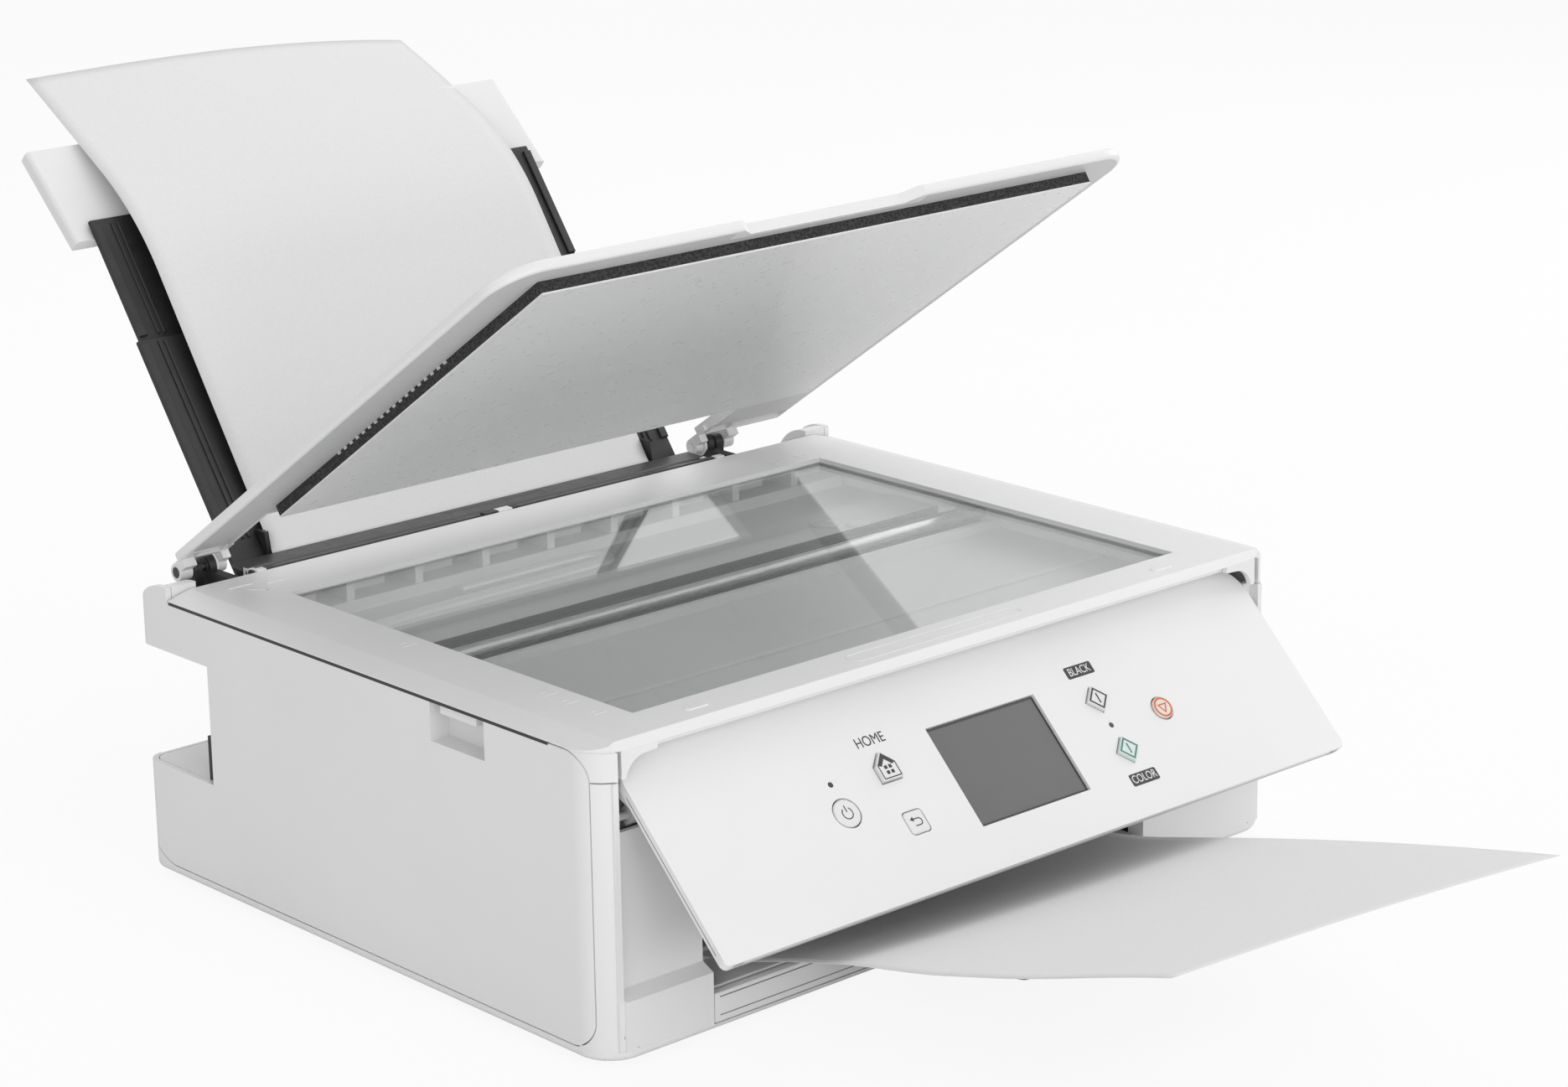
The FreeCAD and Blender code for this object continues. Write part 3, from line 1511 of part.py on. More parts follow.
def make_engine():
    """Print engine: rail with its brackets, platen, rollers, carriage with tanks, belt drive and boards."""
    web_rear = d.rail_y + d.rail_thick
    half = d.rail_half
    thick = d.rail_thick
    web_low = FEED_Z + d.feed_gear + d.rail_clear
    web = box((-half, d.rail_y, web_low), (half, web_rear, d.rail_top))
    flange = box((-half, d.rail_y - d.rail_flange, d.rail_top - thick), (half, web_rear, d.rail_top))
    brackets = [
        box((x, web_rear - d.bracket_depth, FLOOR_TOP), (x + thick, web_rear, d.rail_top))
        for x in (-half - thick, half)
    ]
    bore = d.motor_shaft + d.run_gap
    shaft_hole = rod("Y", (-d.belt_half, d.rail_y - OVER, d.belt_height), thick + 2 * OVER, bore)
    pin_front = d.belt_y - d.fit_gap
    pin_length = d.rail_y + thick / 2 - pin_front
    idler_pin = rod("Y", (d.belt_half, pin_front, d.belt_height), pin_length, d.motor_shaft)
    node("carriage_rail", fuse(cut(fuse(web, flange, *brackets), shaft_hole), idler_pin))
    motor = rod("Y", (-d.belt_half, web_rear, d.belt_height), d.motor_length, d.motor_radius)
    node("carriage_motor", motor)
    pulley_radius = d.belt_radius - d.run_gap
    pulley = rod("Y", (-d.belt_half, d.belt_y, d.belt_height), d.belt_width, pulley_radius)
    shaft = rod("Y", (-d.belt_half, d.belt_y, d.belt_height), web_rear - d.belt_y, d.motor_shaft)
    node("drive_pulley", fuse(pulley, shaft))
    idler = rod("Y", (d.belt_half, d.belt_y, d.belt_height), d.belt_width, pulley_radius)
    idler_bore = rod("Y", (d.belt_half, d.belt_y - OVER, d.belt_height), d.belt_width + 2 * OVER, bore)
    node("idler_pulley", cut(idler, idler_bore))
    belt_end = d.belt_y + d.belt_width
    node(
        "carriage_belt",
        belt_loop("Y", d.belt_half, d.belt_height, d.belt_radius, d.belt_thick, d.belt_y, belt_end),
    )
    make_rollers()
    make_carriage()
    make_boards()


def make_rollers():
    """Platen with its ears, the feed roller behind it and the eject roller in front of it."""
    front = -d.platen_front
    rear = d.platen_rear
    leg = d.platen_leg
    plate = box((BAY_LEFT, front, TRAY_TOP + 2 * d.fit_gap), (BAY_RIGHT, rear, PLATEN_TOP))
    legs = [
        box((x, front, BRIDGE_TOP), (x + leg, rear, PLATEN_TOP)) for x in (BAY_LEFT, BAY_RIGHT - leg)
    ]
    ears = []
    bores = []
    feed_ear_rear = d.feed_y + d.ear_half
    feed_ear_top = d.path_height + d.ear_rise
    bore_length = d.ear_thick + 2 * OVER
    for x in (BAY_LEFT, BAY_RIGHT - d.ear_thick):
        ears.append(box((x, -d.eject_y - d.ear_half, BRIDGE_TOP), (x + d.ear_thick, front, d.path_height)))
        ears.append(box((x, rear, BRIDGE_TOP), (x + d.ear_thick, feed_ear_rear, feed_ear_top)))
        bores.append(rod("X", (x - OVER, -d.eject_y, EJECT_Z), bore_length, d.eject_shaft + d.run_gap))
        bores.append(rod("X", (x - OVER, d.feed_y, FEED_Z), bore_length, d.feed_shaft + d.run_gap))
    node("platen", cut(fuse(plate, *legs, *ears), *bores))
    length = BAY_RIGHT - BAY_LEFT
    shaft_left = BAY_LEFT - d.shaft_past
    shaft = rod("X", (shaft_left, -d.eject_y, EJECT_Z), length + 2 * d.shaft_past, d.eject_shaft)
    tyres = []
    pitch = length / d.tyre_count
    for index in range(int(SIZES["tyre_count"])):
        x = BAY_LEFT + pitch * index + (pitch - d.tyre_width) / 2
        tyres.append(rod("X", (x, -d.eject_y, EJECT_Z), d.tyre_width, d.eject_radius))
    node("eject_roller", fuse(shaft, *tyres))
    inner = d.ear_thick + d.roller_gap
    gear_x = BAY_LEFT - d.gear_reach
    feed_shaft = rod("X", (gear_x, d.feed_y, FEED_Z), length + d.gear_reach + d.shaft_past, d.feed_shaft)
    barrel_roll = rod("X", (BAY_LEFT + inner, d.feed_y, FEED_Z), length - 2 * inner, d.feed_radius)
    gear = rod("X", (gear_x, d.feed_y, FEED_Z), d.gear_thick, d.feed_gear)
    node("feed_roller", fuse(feed_shaft, barrel_roll, gear))


def make_carriage():
    """Print carriage in its parking place at the right, with a row of ink tanks."""
    right = d.carriage_right
    left = right - d.carriage_width
    wall = d.carriage_wall
    floor = d.carriage_under + d.carriage_floor
    front = -d.carriage_front
    rear = d.carriage_rear
    case = cut(
        box((left, front, d.carriage_under), (right, rear, d.carriage_top)),
        box(
            (left + wall, front + wall, floor),
            (right - wall, rear - wall, d.carriage_top + OVER),
        ),
    )
    hook = box(
        (left, rear, d.belt_height + d.belt_radius + d.belt_thick + d.hook_gap),
        (right, d.rail_y - d.fit_gap, d.rail_top - d.rail_thick - d.fit_gap),
    )
    node("print_carriage", fuse(case, hook))
    count = int(SIZES["tank_count"])
    pitch = (d.carriage_width - 2 * wall) / d.tank_count
    tanks = []
    for index in range(count):
        x = left + wall + pitch * index
        tanks.append(
            box(
                (x + d.fit_gap, front + wall + d.fit_gap, floor),
                (x + pitch - d.fit_gap, rear - wall - d.fit_gap, d.carriage_top + d.tank_rise),
            )
        )
    node("ink_tanks", group(*tanks))


def make_boards():
    """Maintenance station, main board and power supply."""
    station_left = BAY_RIGHT + d.bridge_leg + d.fit_gap
    station_right = station_left + d.station_width
    station_top = FLOOR_TOP + d.station_height
    front = -d.carriage_front
    station = box((station_left, front, FLOOR_TOP), (station_right, d.station_rear, station_top))
    caps = box(
        (station_left + d.cap_side, front + d.cap_end, station_top),
        (station_right - d.cap_side, d.station_rear - d.cap_end, d.carriage_under - d.cap_gap),
    )
    node("maintenance_station", fuse(station, caps))
    inside = d.case_wall - HALF
    board_low = FLOOR_TOP + d.board_lift
    board = box(
        (inside + d.fit_gap, -d.board_front, board_low),
        (inside + d.fit_gap + d.board_thick, d.board_length - d.board_front, board_low + d.board_height),
    )
    node("main_board", board)
    supply_rear = d.bay_front - d.case_wall - d.fit_gap
    supply_left = inside + d.supply_inset
    supply = box(
        (supply_left, supply_rear - d.supply_length, FLOOR_TOP),
        (supply_left + d.supply_width, supply_rear, FLOOR_TOP + d.supply_height),
    )
    node("power_supply", supply)


def finish():
    """Checks every object of the document and writes one file per node."""
    doc.recompute()
    for item in doc.Objects:
        if "Invalid" in item.State or "Error" in item.State:
            raise RuntimeError(f"{item.Label} did not build: {item.State}")
    os.makedirs("parts", exist_ok=True)
    for name, item in nodes.items():
        shape = item.Shape
        if shape.isNull() or not shape.isValid() or not shape.Solids:
            raise RuntimeError(f"{name} has no valid solid")
        shape.exportStep(f"parts/{name}.step")


make_base()
make_side_covers()
make_rear()
make_front()
make_cassette()
make_output()
make_support()
make_rear_frame()
make_hinges()
make_scanner()
make_lid()
make_panel()
make_engine()
finish()
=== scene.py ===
"""Looks of a flatbed inkjet printer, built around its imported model. Metres, +X right, +Y back, +Z up."""

import math

import bmesh
import bpy
from mathutils import Matrix, Vector


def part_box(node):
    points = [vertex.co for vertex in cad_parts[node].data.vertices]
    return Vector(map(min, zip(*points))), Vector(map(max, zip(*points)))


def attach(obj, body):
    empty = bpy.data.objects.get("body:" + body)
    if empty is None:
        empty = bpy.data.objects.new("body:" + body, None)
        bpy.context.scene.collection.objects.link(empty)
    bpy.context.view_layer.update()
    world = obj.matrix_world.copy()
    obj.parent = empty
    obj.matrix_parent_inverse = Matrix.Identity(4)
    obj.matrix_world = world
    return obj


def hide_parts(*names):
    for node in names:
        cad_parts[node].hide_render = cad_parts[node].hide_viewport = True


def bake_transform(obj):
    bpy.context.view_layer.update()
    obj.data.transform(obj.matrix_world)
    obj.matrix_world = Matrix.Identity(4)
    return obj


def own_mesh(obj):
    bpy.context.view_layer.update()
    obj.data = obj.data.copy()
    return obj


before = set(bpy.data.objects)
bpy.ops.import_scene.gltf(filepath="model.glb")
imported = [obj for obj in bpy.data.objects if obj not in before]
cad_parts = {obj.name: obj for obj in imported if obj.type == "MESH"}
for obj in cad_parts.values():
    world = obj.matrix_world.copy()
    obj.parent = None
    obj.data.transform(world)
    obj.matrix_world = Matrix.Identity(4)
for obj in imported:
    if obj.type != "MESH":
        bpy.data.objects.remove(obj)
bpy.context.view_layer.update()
scene = bpy.context.scene
MM = 0.001


# Materials

def principled(name):
    material = bpy.data.materials.new(name)
    material.use_nodes = True
    tree = material.node_tree
    return material, tree, tree.nodes["Principled BSDF"]


def add_node(tree, kind, **values):
    """A shader node with some of its sockets or properties set."""
    item = tree.nodes.new(kind)
    for key, value in values.items():
        if key in item.inputs:
            item.inputs[key].default_value = value
        else:
            setattr(item, key, value)
    return item


def noise(tree, scale, detail=2.0, rough=0.5):
    place = add_node(tree, "ShaderNodeTexCoord")
    item = add_node(tree, "ShaderNodeTexNoise", Scale=scale, Detail=detail, Roughness=rough)
    tree.links.new(place.outputs["Object"], item.inputs["Vector"])
    return item


def spread(tree, source, low, high):
    """Maps a noise's middle range onto low to high."""
    item = add_node(tree, "ShaderNodeMapRange")
    item.inputs["From Min"].default_value = 0.3
    item.inputs["From Max"].default_value = 0.7
    item.inputs["To Min"].default_value = low
    item.inputs["To Max"].default_value = high
    tree.links.new(source.outputs["Fac"], item.inputs["Value"])
    return item


def two_tones(tree, source, dark, light):
    ramp = add_node(tree, "ShaderNodeValToRGB")
    ramp.color_ramp.elements[0].position = 0.35
    ramp.color_ramp.elements[0].color = (*dark, 1.0)
    ramp.color_ramp.elements[1].position = 0.65
    ramp.color_ramp.elements[1].color = (*light, 1.0)
    tree.links.new(source.outputs["Fac"], ramp.inputs["Fac"])
    return ramp


def moulded(name, colour, change, rough, grain_scale, grain, coat=0.0, specular=0.5):
    """Moulded plastic: a faint cloud of colour, uneven gloss and a fine grain."""
    material, tree, shader = principled(name)
    cloud = noise(tree, 14.0, 3.0)
    dark = tuple(c * (1.0 - change) for c in colour)
    light = tuple(min(1.0, c * (1.0 + change)) for c in colour)
    tone = two_tones(tree, cloud, dark, light)
    tree.links.new(tone.outputs["Color"], shader.inputs["Base Color"])
    gloss = noise(tree, 160.0, 2.0)
    gloss_range = spread(tree, gloss, rough * 0.88, min(1.0, rough * 1.12))
    tree.links.new(gloss_range.outputs["Result"], shader.inputs["Roughness"])
    fine = noise(tree, grain_scale, 2.0, 0.6)
    bump = add_node(tree, "ShaderNodeBump", Strength=grain, Distance=0.0002)
    tree.links.new(fine.outputs["Fac"], bump.inputs["Height"])
    tree.links.new(bump.outputs["Normal"], shader.inputs["Normal"])
    shader.inputs["Coat Weight"].default_value = coat
    shader.inputs["Specular IOR Level"].default_value = specular
    return material


def speckled(name, dark, light, rough, scale, grain):
    """Open foam: dark cells with lighter walls."""
    material, tree, shader = principled(name)
    place = add_node(tree, "ShaderNodeTexCoord")
    cells = add_node(tree, "ShaderNodeTexVoronoi", Scale=scale)
    tree.links.new(place.outputs["Object"], cells.inputs["Vector"])
    ramp = add_node(tree, "ShaderNodeValToRGB")
    ramp.color_ramp.elements[0].position = 0.1
    ramp.color_ramp.elements[0].color = (*dark, 1.0)
    ramp.color_ramp.elements[1].position = 0.75
    ramp.color_ramp.elements[1].color = (*light, 1.0)
    tree.links.new(cells.outputs["Distance"], ramp.inputs["Fac"])
    tree.links.new(ramp.outputs["Color"], shader.inputs["Base Color"])
    bump = add_node(tree, "ShaderNodeBump", Strength=grain, Distance=0.0004)
    tree.links.new(cells.outputs["Distance"], bump.inputs["Height"])
    tree.links.new(bump.outputs["Normal"], shader.inputs["Normal"])
    shader.inputs["Roughness"].default_value = rough
    return material


def metal(name, colour, rough, scale):
    """Rolled steel with fine brushing along X."""
    material, tree, shader = principled(name)
    place = add_node(tree, "ShaderNodeTexCoord")
    stretch = add_node(tree, "ShaderNodeMapping")
    stretch.inputs["Scale"].default_value = (0.04, 1.0, 1.0)
    tree.links.new(place.outputs["Object"], stretch.inputs["Vector"])
    lines = add_node(tree, "ShaderNodeTexNoise", Scale=scale, Detail=3.0)
    tree.links.new(stretch.outputs["Vector"], lines.inputs["Vector"])
    tone = two_tones(tree, lines, tuple(c * 0.86 for c in colour), colour)
    tree.links.new(tone.outputs["Color"], shader.inputs["Base Color"])
    gloss = spread(tree, lines, rough * 0.8, rough * 1.25)
    tree.links.new(gloss.outputs["Result"], shader.inputs["Roughness"])
    shader.inputs["Metallic"].default_value = 1.0
    return material


def paper_look(name, colour):
    """Plain copy paper: fibres in its tone and surface, a little light through it."""
    material, tree, shader = principled(name)
    fibres = noise(tree, 700.0, 5.0, 0.65)
    tone = two_tones(tree, fibres, tuple(c * 0.965 for c in colour), colour)
    tree.links.new(tone.outputs["Color"], shader.inputs["Base Color"])
    bump = add_node(tree, "ShaderNodeBump", Strength=0.12, Distance=0.0002)
    tree.links.new(fibres.outputs["Fac"], bump.inputs["Height"])
    tree.links.new(bump.outputs["Normal"], shader.inputs["Normal"])
    shader.inputs["Roughness"].default_value = 0.85
    shader.inputs["Specular IOR Level"].default_value = 0.2
    shader.inputs["Sheen Weight"].default_value = 0.05
    return material


def clear_glass(name):
    """Flat float glass, clear to light that passes straight through, with dust-fine gloss changes."""
    material, tree, shader = principled(name)
    shader.inputs["Base Color"].default_value = (0.96, 0.975, 0.97, 1.0)
    shader.inputs["Transmission Weight"].default_value = 1.0
    shader.inputs["IOR"].default_value = 1.45
    smear = noise(tree, 35.0, 4.0)
    gloss = spread(tree, smear, 0.0, 0.02)
    tree.links.new(gloss.outputs["Result"], shader.inputs["Roughness"])
    see_through = add_node(tree, "ShaderNodeBsdfTransparent")
    see_through.inputs["Color"].default_value = (0.93, 0.945, 0.94, 1.0)
    path = add_node(tree, "ShaderNodeLightPath")
    mix = add_node(tree, "ShaderNodeMixShader")
    soft_light = add_node(tree, "ShaderNodeMath", operation="MAXIMUM")
    tree.links.new(path.outputs["Is Shadow Ray"], soft_light.inputs[0])
    tree.links.new(path.outputs["Is Diffuse Ray"], soft_light.inputs[1])
    tree.links.new(soft_light.outputs[0], mix.inputs["Fac"])
    tree.links.new(shader.outputs["BSDF"], mix.inputs[1])
    tree.links.new(see_through.outputs["BSDF"], mix.inputs[2])
    out = tree.nodes["Material Output"]
    tree.links.new(mix.outputs["Shader"], out.inputs["Surface"])
    return material


def tinted_tank(name):
    material, tree, shader = principled(name)
    cloud = noise(tree, 60.0, 3.0)
    tone = two_tones(tree, cloud, (0.03, 0.03, 0.034), (0.06, 0.06, 0.066))
    tree.links.new(tone.outputs["Color"], shader.inputs["Base Color"])
    shader.inputs["Roughness"].default_value = 0.18
    shader.inputs["Coat Weight"].default_value = 0.3
    return material


LOOK = {
    "case_white": moulded("satin_white", (0.8, 0.8, 0.8), 0.01, 0.36, 2600.0, 0.04, 0.06),
    "light_grey_plastic": moulded("light_grey", (0.6, 0.6, 0.6), 0.02, 0.45, 2200.0, 0.06),
    "dark_plastic": moulded("dark_grain", (0.016, 0.016, 0.017), 0.1, 0.5, 1500.0, 0.2),
    "foam": speckled("black_foam", (0.006, 0.006, 0.006), (0.05, 0.05, 0.05), 0.95, 900.0, 0.9),
    "pad": moulded("white_film", (0.78, 0.78, 0.78), 0.006, 0.3, 2600.0, 0.004, 0.12),
    "foot_rubber": moulded("foot_rubber_look", (0.05, 0.05, 0.05), 0.1, 0.8, 1200.0, 0.25),
    "roller_rubber": moulded("roller_rubber_look", (0.03, 0.03, 0.03), 0.1, 0.75, 1400.0, 0.25),
    "belt": moulded("belt_rubber", (0.03, 0.03, 0.03), 0.1, 0.7, 1500.0, 0.3),
    "steel": metal("rolled_steel", (0.62, 0.62, 0.63), 0.28, 900.0),
    "flatbed_glass": clear_glass("float_glass"),
    "screen": moulded("dim_screen", (0.12, 0.12, 0.122), 0.04, 0.22, 3000.0, 0.01, 0.2),
    "lamp": moulded("lamp_off", (0.02, 0.02, 0.02), 0.15, 0.2, 2000.0, 0.02, 0.5),
    "key_white": moulded("key_white_look", (0.76, 0.76, 0.76), 0.01, 0.3, 2600.0, 0.04, 0.1),
    "key_black": moulded("key_black_look", (0.74, 0.74, 0.74), 0.01, 0.3, 2600.0, 0.04, 0.1),
    "key_teal": moulded("key_teal_look", (0.66, 0.74, 0.71), 0.01, 0.3, 2600.0, 0.04, 0.1),
    "key_orange": moulded("key_orange_look", (0.78, 0.68, 0.62), 0.01, 0.3, 2600.0, 0.04, 0.1),
    "ink_tank": tinted_tank("tank_dark"),
    "circuit_board": moulded("board_green", (0.03, 0.11, 0.06), 0.2, 0.45, 700.0, 0.2),
    "paper": paper_look("copy_paper", (0.8, 0.8, 0.8)),
}


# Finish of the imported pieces

# Bevel width in millimetres for each piece whose edges are rounded a little.
EDGE = {
    "base_case": 0.6, "left_side_cover": 0.7, "right_side_cover": 0.7, "rear_cover": 0.6,
    "connector_bay": 0.4, "power_inlet": 0.5, "front_frame": 0.5, "cassette": 0.5,
    "cassette_bridge": 0.3, "support_lower": 0.6, "support_upper": 0.6, "support_cover": 0.8,
    "rear_tray_base": 0.5, "rear_frame": 0.6,
    "left_paper_guide": 0.6, "right_paper_guide": 0.6, "hinge_posts": 0.5,
    "scanner_hinge_arms": 0.5, "scanner_bezel": 0.6, "scanner_tub": 0.5, "scan_carriage": 0.5,
    "lid_shell": 0.5, "lid_liner": 0.4, "panel_shell": 0.6, "panel_back": 0.4, "platen": 0.4,
    "print_carriage": 0.8, "ink_tanks": 0.8, "maintenance_station": 0.6, "power_supply": 0.8,
}

# Smallest angle in degrees that is bevelled, and the same where a piece has shallow creases.
PLAIN_CREASE = 35.0
CREASE = {"scanner_bezel": 12.0}

# Pieces that take another look than their own slot's.
OTHER_LOOK = {"hinge_posts": "dark_plastic", "connector_bay": "case_white", "cassette": "case_white"}


def round_edges(item, width, crease):
    """Joins the split corners of an imported mesh and bevels its sharp edges."""
    weld = item.modifiers.new("weld", "WELD")
    weld.merge_threshold = 0.00002
    bevel = item.modifiers.new("bevel", "BEVEL")
    bevel.width = width * MM
    bevel.segments = 2
    bevel.limit_method = "ANGLE"
    bevel.angle_limit = math.radians(crease)
    bevel.use_clamp_overlap = True
    normals = item.modifiers.new("normals", "WEIGHTED_NORMAL")
    normals.keep_sharp = False
    normals.weight = 95


for name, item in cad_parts.items():
    slot = item.data.materials[0].name.split(".")[0]
    item.material_slots[0].material = LOOK[OTHER_LOOK.get(name, slot)]
    if name in EDGE:
        round_edges(item, EDGE[name], CREASE.get(name, PLAIN_CREASE))


# Building pieces

def new_piece(name, mesh_build, look, body=None):
    """Turns a finished bmesh into an object with one look that moves with a body."""
    bmesh.ops.recalc_face_normals(mesh_build, faces=mesh_build.faces)
    mesh = bpy.data.meshes.new(name)
    mesh_build.to_mesh(mesh)
    mesh_build.free()
    mesh.materials.append(look)
    item = bpy.data.objects.new(name, mesh)
    scene.collection.objects.link(item)
    if body:
        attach(item, body)
    return item


def drawing_plane(origin, right, up):
    """Matrix of a flat plane in millimetres: x along right, y along up, z out of it. origin is in metres."""
    right = Vector(right).normalized()
    up = Vector(up).normalized()
    turn = Matrix((right, up, right.cross(up))).transposed().to_4x4()
    return Matrix.Translation(origin) @ turn @ Matrix.Scale(MM, 4)


def circle(x, y, radius, count=40):
    angles = [2 * math.pi * number / count for number in range(count)]
    return [(x + radius * math.cos(angle), y + radius * math.sin(angle)) for angle in angles]


def rounded_box(x, y, width, height, radius, steps=5):
    """Outline of a rectangle with round corners, about its middle."""
    points = []
    for quarter, (side, rise) in enumerate(((1, 1), (-1, 1), (-1, -1), (1, -1))):
        middle_x = x + side * (width / 2 - radius)
        middle_y = y + rise * (height / 2 - radius)
        for step in range(steps + 1):
            angle = (quarter + step / steps) * math.pi / 2
            points.append((middle_x + radius * math.cos(angle), middle_y + radius * math.sin(angle)))
    return points


def inset(points, amount):
    """A closed outline drawn in by an amount. Its points run anticlockwise."""
    moved = []
    count = len(points)
    for number, point in enumerate(points):
        here = Vector(point)
        first = (here - Vector(points[number - 1])).normalized()
        second = (Vector(points[(number + 1) % count]) - here).normalized()
        middle = Vector((-first.y - second.y, first.x + second.x))
        moved.append(tuple(here + middle * (2 * amount / middle.length_squared)))
    return moved


def loft(build, rings, closed=False):
    """Joins rings of points with faces.

    A closed loft runs back to its first ring, and an open one gets two ends.
    """
    rows = [[build.verts.new(point) for point in ring] for ring in rings]
    pairs = list(zip(rows, rows[1:]))
    if closed:
        pairs.append((rows[-1], rows[0]))
    else:
        build.faces.new(rows[0])
        build.faces.new(rows[-1])
    count = len(rows[0])
    for low, high in pairs:
        for number in range(count):
            after = (number + 1) % count
            build.faces.new((low[number], low[after], high[after], high[number]))


def at_height(plane, outline, height):
    return [plane @ Vector((x, y, height)) for x, y in outline]


def slab(build, plane, outline, low, high, edge=0.0):
    """A plate between two heights over a plane, with its upper edge cut off."""
    rings = [at_height(plane, outline, low), at_height(plane, outline, high - edge)]
    if edge:
        rings.append(at_height(plane, inset(outline, edge), high))
    loft(build, rings)


def band(build, plane, outline, width, low, high):
    """A closed line of some width along an outline."""
    outer = inset(outline, -width / 2)
    inner = inset(outline, width / 2)
    rings = ((outer, low), (outer, high), (inner, high), (inner, low))
    loft(build, [at_height(plane, ring, height) for ring, height in rings], closed=True)


def line_sides(points, width):
    """Points of the two sides of an open line of some width."""
    left, right = [], []
    last = len(points) - 1
    for number, point in enumerate(points):
        here = Vector(point)
        before = Vector(points[max(number - 1, 0)])
        after = Vector(points[min(number + 1, last)])
        along = (after - before).normalized()
        across = Vector((-along.y, along.x)) * (width / 2)
        left.append(tuple(here + across))
        right.append(tuple(here - across))
    return left, right


def line(build, plane, points, width, low, high):
    """An open line of some width through points."""
    left, right = line_sides(points, width)
    slab(build, plane, right + left[::-1], low, high)


def bar(build, plane, low, high, edge=0.0):
    """A box between two corners over a plane."""
    outline = [(low[0], low[1]), (high[0], low[1]), (high[0], high[1]), (low[0], high[1])]
    slab(build, plane, outline, low[2], high[2], edge)


def arc(x, y, radius, start, end, count=16):
    angles = [math.radians(start + (end - start) * number / count) for number in range(count + 1)]
    return [(x + radius * math.cos(angle), y + radius * math.sin(angle)) for angle in angles]


def lettering(name, words, plane, x, y, height, narrow, lift, look, body):
    """Raised letters about a point of a plane, cut from a built-in typeface."""
    curve = bpy.data.curves.new(name, "FONT")
    curve.body = words
    curve.align_x = "CENTER"
    curve.align_y = "CENTER"
    curve.extrude = lift
    writer = bpy.data.objects.new(name + "_writer", curve)
    scene.collection.objects.link(writer)
    bpy.context.view_layer.update()
    mesh = bpy.data.meshes.new_from_object(writer.evaluated_get(bpy.context.evaluated_depsgraph_get()))
    bpy.data.objects.remove(writer)
    size = height / CAPITAL
    mesh.transform(plane @ Matrix.Translation((x, y, 0)) @ Matrix.Diagonal((size * narrow, size, 1, 1)))
    mesh.materials.clear()
    mesh.materials.append(look)
    item = bpy.data.objects.new(name, mesh)
    scene.collection.objects.link(item)
    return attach(item, body)


# Height of a capital letter when the type size is one.
CAPITAL = 0.69

ACROSS = (1, 0, 0)
BACK = (0, 1, 0)
UP = (0, 0, 1)
LEVEL = drawing_plane((0, 0, 0), ACROSS, BACK)
SIDE = drawing_plane((0, 0, 0), BACK, UP)
FACING = drawing_plane((0, 0, 0), ACROSS, UP)

# Dark ink for printed signs, also used as painted shade for the side seams, the outer lugs' holes and the
# rear vents.
DARK_INK_AND_SHADE = moulded("dark_ink_and_painted_shade", (0.03, 0.03, 0.032), 0.08, 0.5, 1800.0, 0.05)
TEAL_INK = moulded("teal_ink", (0.06, 0.2, 0.17), 0.06, 0.45, 1800.0, 0.05)
ORANGE_INK = moulded("orange_ink", (0.62, 0.16, 0.06), 0.06, 0.45, 1800.0, 0.05)
WHITE_INK = moulded("white_ink", (0.75, 0.75, 0.75), 0.02, 0.5, 1800.0, 0.05)
# Grey for fine seam lines, also used as painted shadow for the upper line on the cassette's front.
SEAM_AND_SHADOW_GREY = moulded("seam_and_painted_shadow_grey", (0.2, 0.2, 0.2), 0.05, 0.7, 1800.0, 0.05)
TUB_GREY = moulded("tub_grey", (0.62, 0.62, 0.62), 0.02, 0.5, 2200.0, 0.08)
CABLE_WHITE = moulded("cable_white", (0.74, 0.74, 0.74), 0.02, 0.4, 2200.0, 0.05)
SLOT_GREY = moulded("slot_grey", (0.034, 0.034, 0.035), 0.06, 0.4, 1500.0, 0.1)

# Middle of the paper's path across the printer.
PATH_MIDDLE = -14.0


# Control panel

PANEL_TILT = math.radians(45)
PANEL_THICK = 4.0
panel_low, panel_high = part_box("panel_shell")
panel_edge = (0, panel_low.y, panel_low.z + PANEL_THICK * MM * math.cos(PANEL_TILT))
PANEL = drawing_plane(panel_edge, ACROSS, (0, math.sin(PANEL_TILT), math.cos(PANEL_TILT)))
KEY_ROOT = -2.5
INK_SINK = 0.1
INK_LIFT = 0.06
MENU_X = -56.6
START_X = 60.4
LOW_ROW = 28.8
ROW = 40.8
HIGH_ROW = 52.8


def key_cap(name, node, body, look, outline, proud, edge):
    build = bmesh.new()
    slab(build, PANEL, outline, KEY_ROOT, proud, edge)
    item = new_piece(name, build, look, body)
    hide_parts(node)
    return item


def power_key():
    x, y = -84.8, ROW
    proud = 0.3
    key_cap("power_cap", "power_button", "power_key", LOOK["key_white"], circle(x, y, 5.9, 56), proud, 0.4)
    build = bmesh.new()
    line(build, PANEL, arc(x, y - 0.2, 2.4, 125, 415, 28), 0.45, proud - INK_SINK, proud + INK_LIFT)
    line(build, PANEL, [(x, y + 0.4), (x, y + 3.2)], 0.45, proud - INK_SINK, proud + INK_LIFT)
    new_piece("power_sign", build, DARK_INK_AND_SHADE, "power_key")


def back_key():
    x, y = MENU_X, LOW_ROW
    proud = 0.3
    outline = rounded_box(x, y, 9.5, 9.5, 1.6)
    key_cap("back_cap", "back_button", "back_key", LOOK["key_white"], outline, proud, 0.4)
    build = bmesh.new()
    path = [(x - 1.6, y + 1.3)] + arc(x + 1.0, y - 0.15, 1.45, 90, -90) + [(x - 1.5, y - 1.6)]
    line(build, PANEL, path, 0.45, proud - INK_SINK, proud + INK_LIFT)
    head = [(x - 2.9, y + 1.3), (x - 1.2, y + 0.2), (x - 1.2, y + 2.4)]
    slab(build, PANEL, head, proud - INK_SINK, proud + INK_LIFT)
    new_piece("back_sign", build, DARK_INK_AND_SHADE, "back_key")


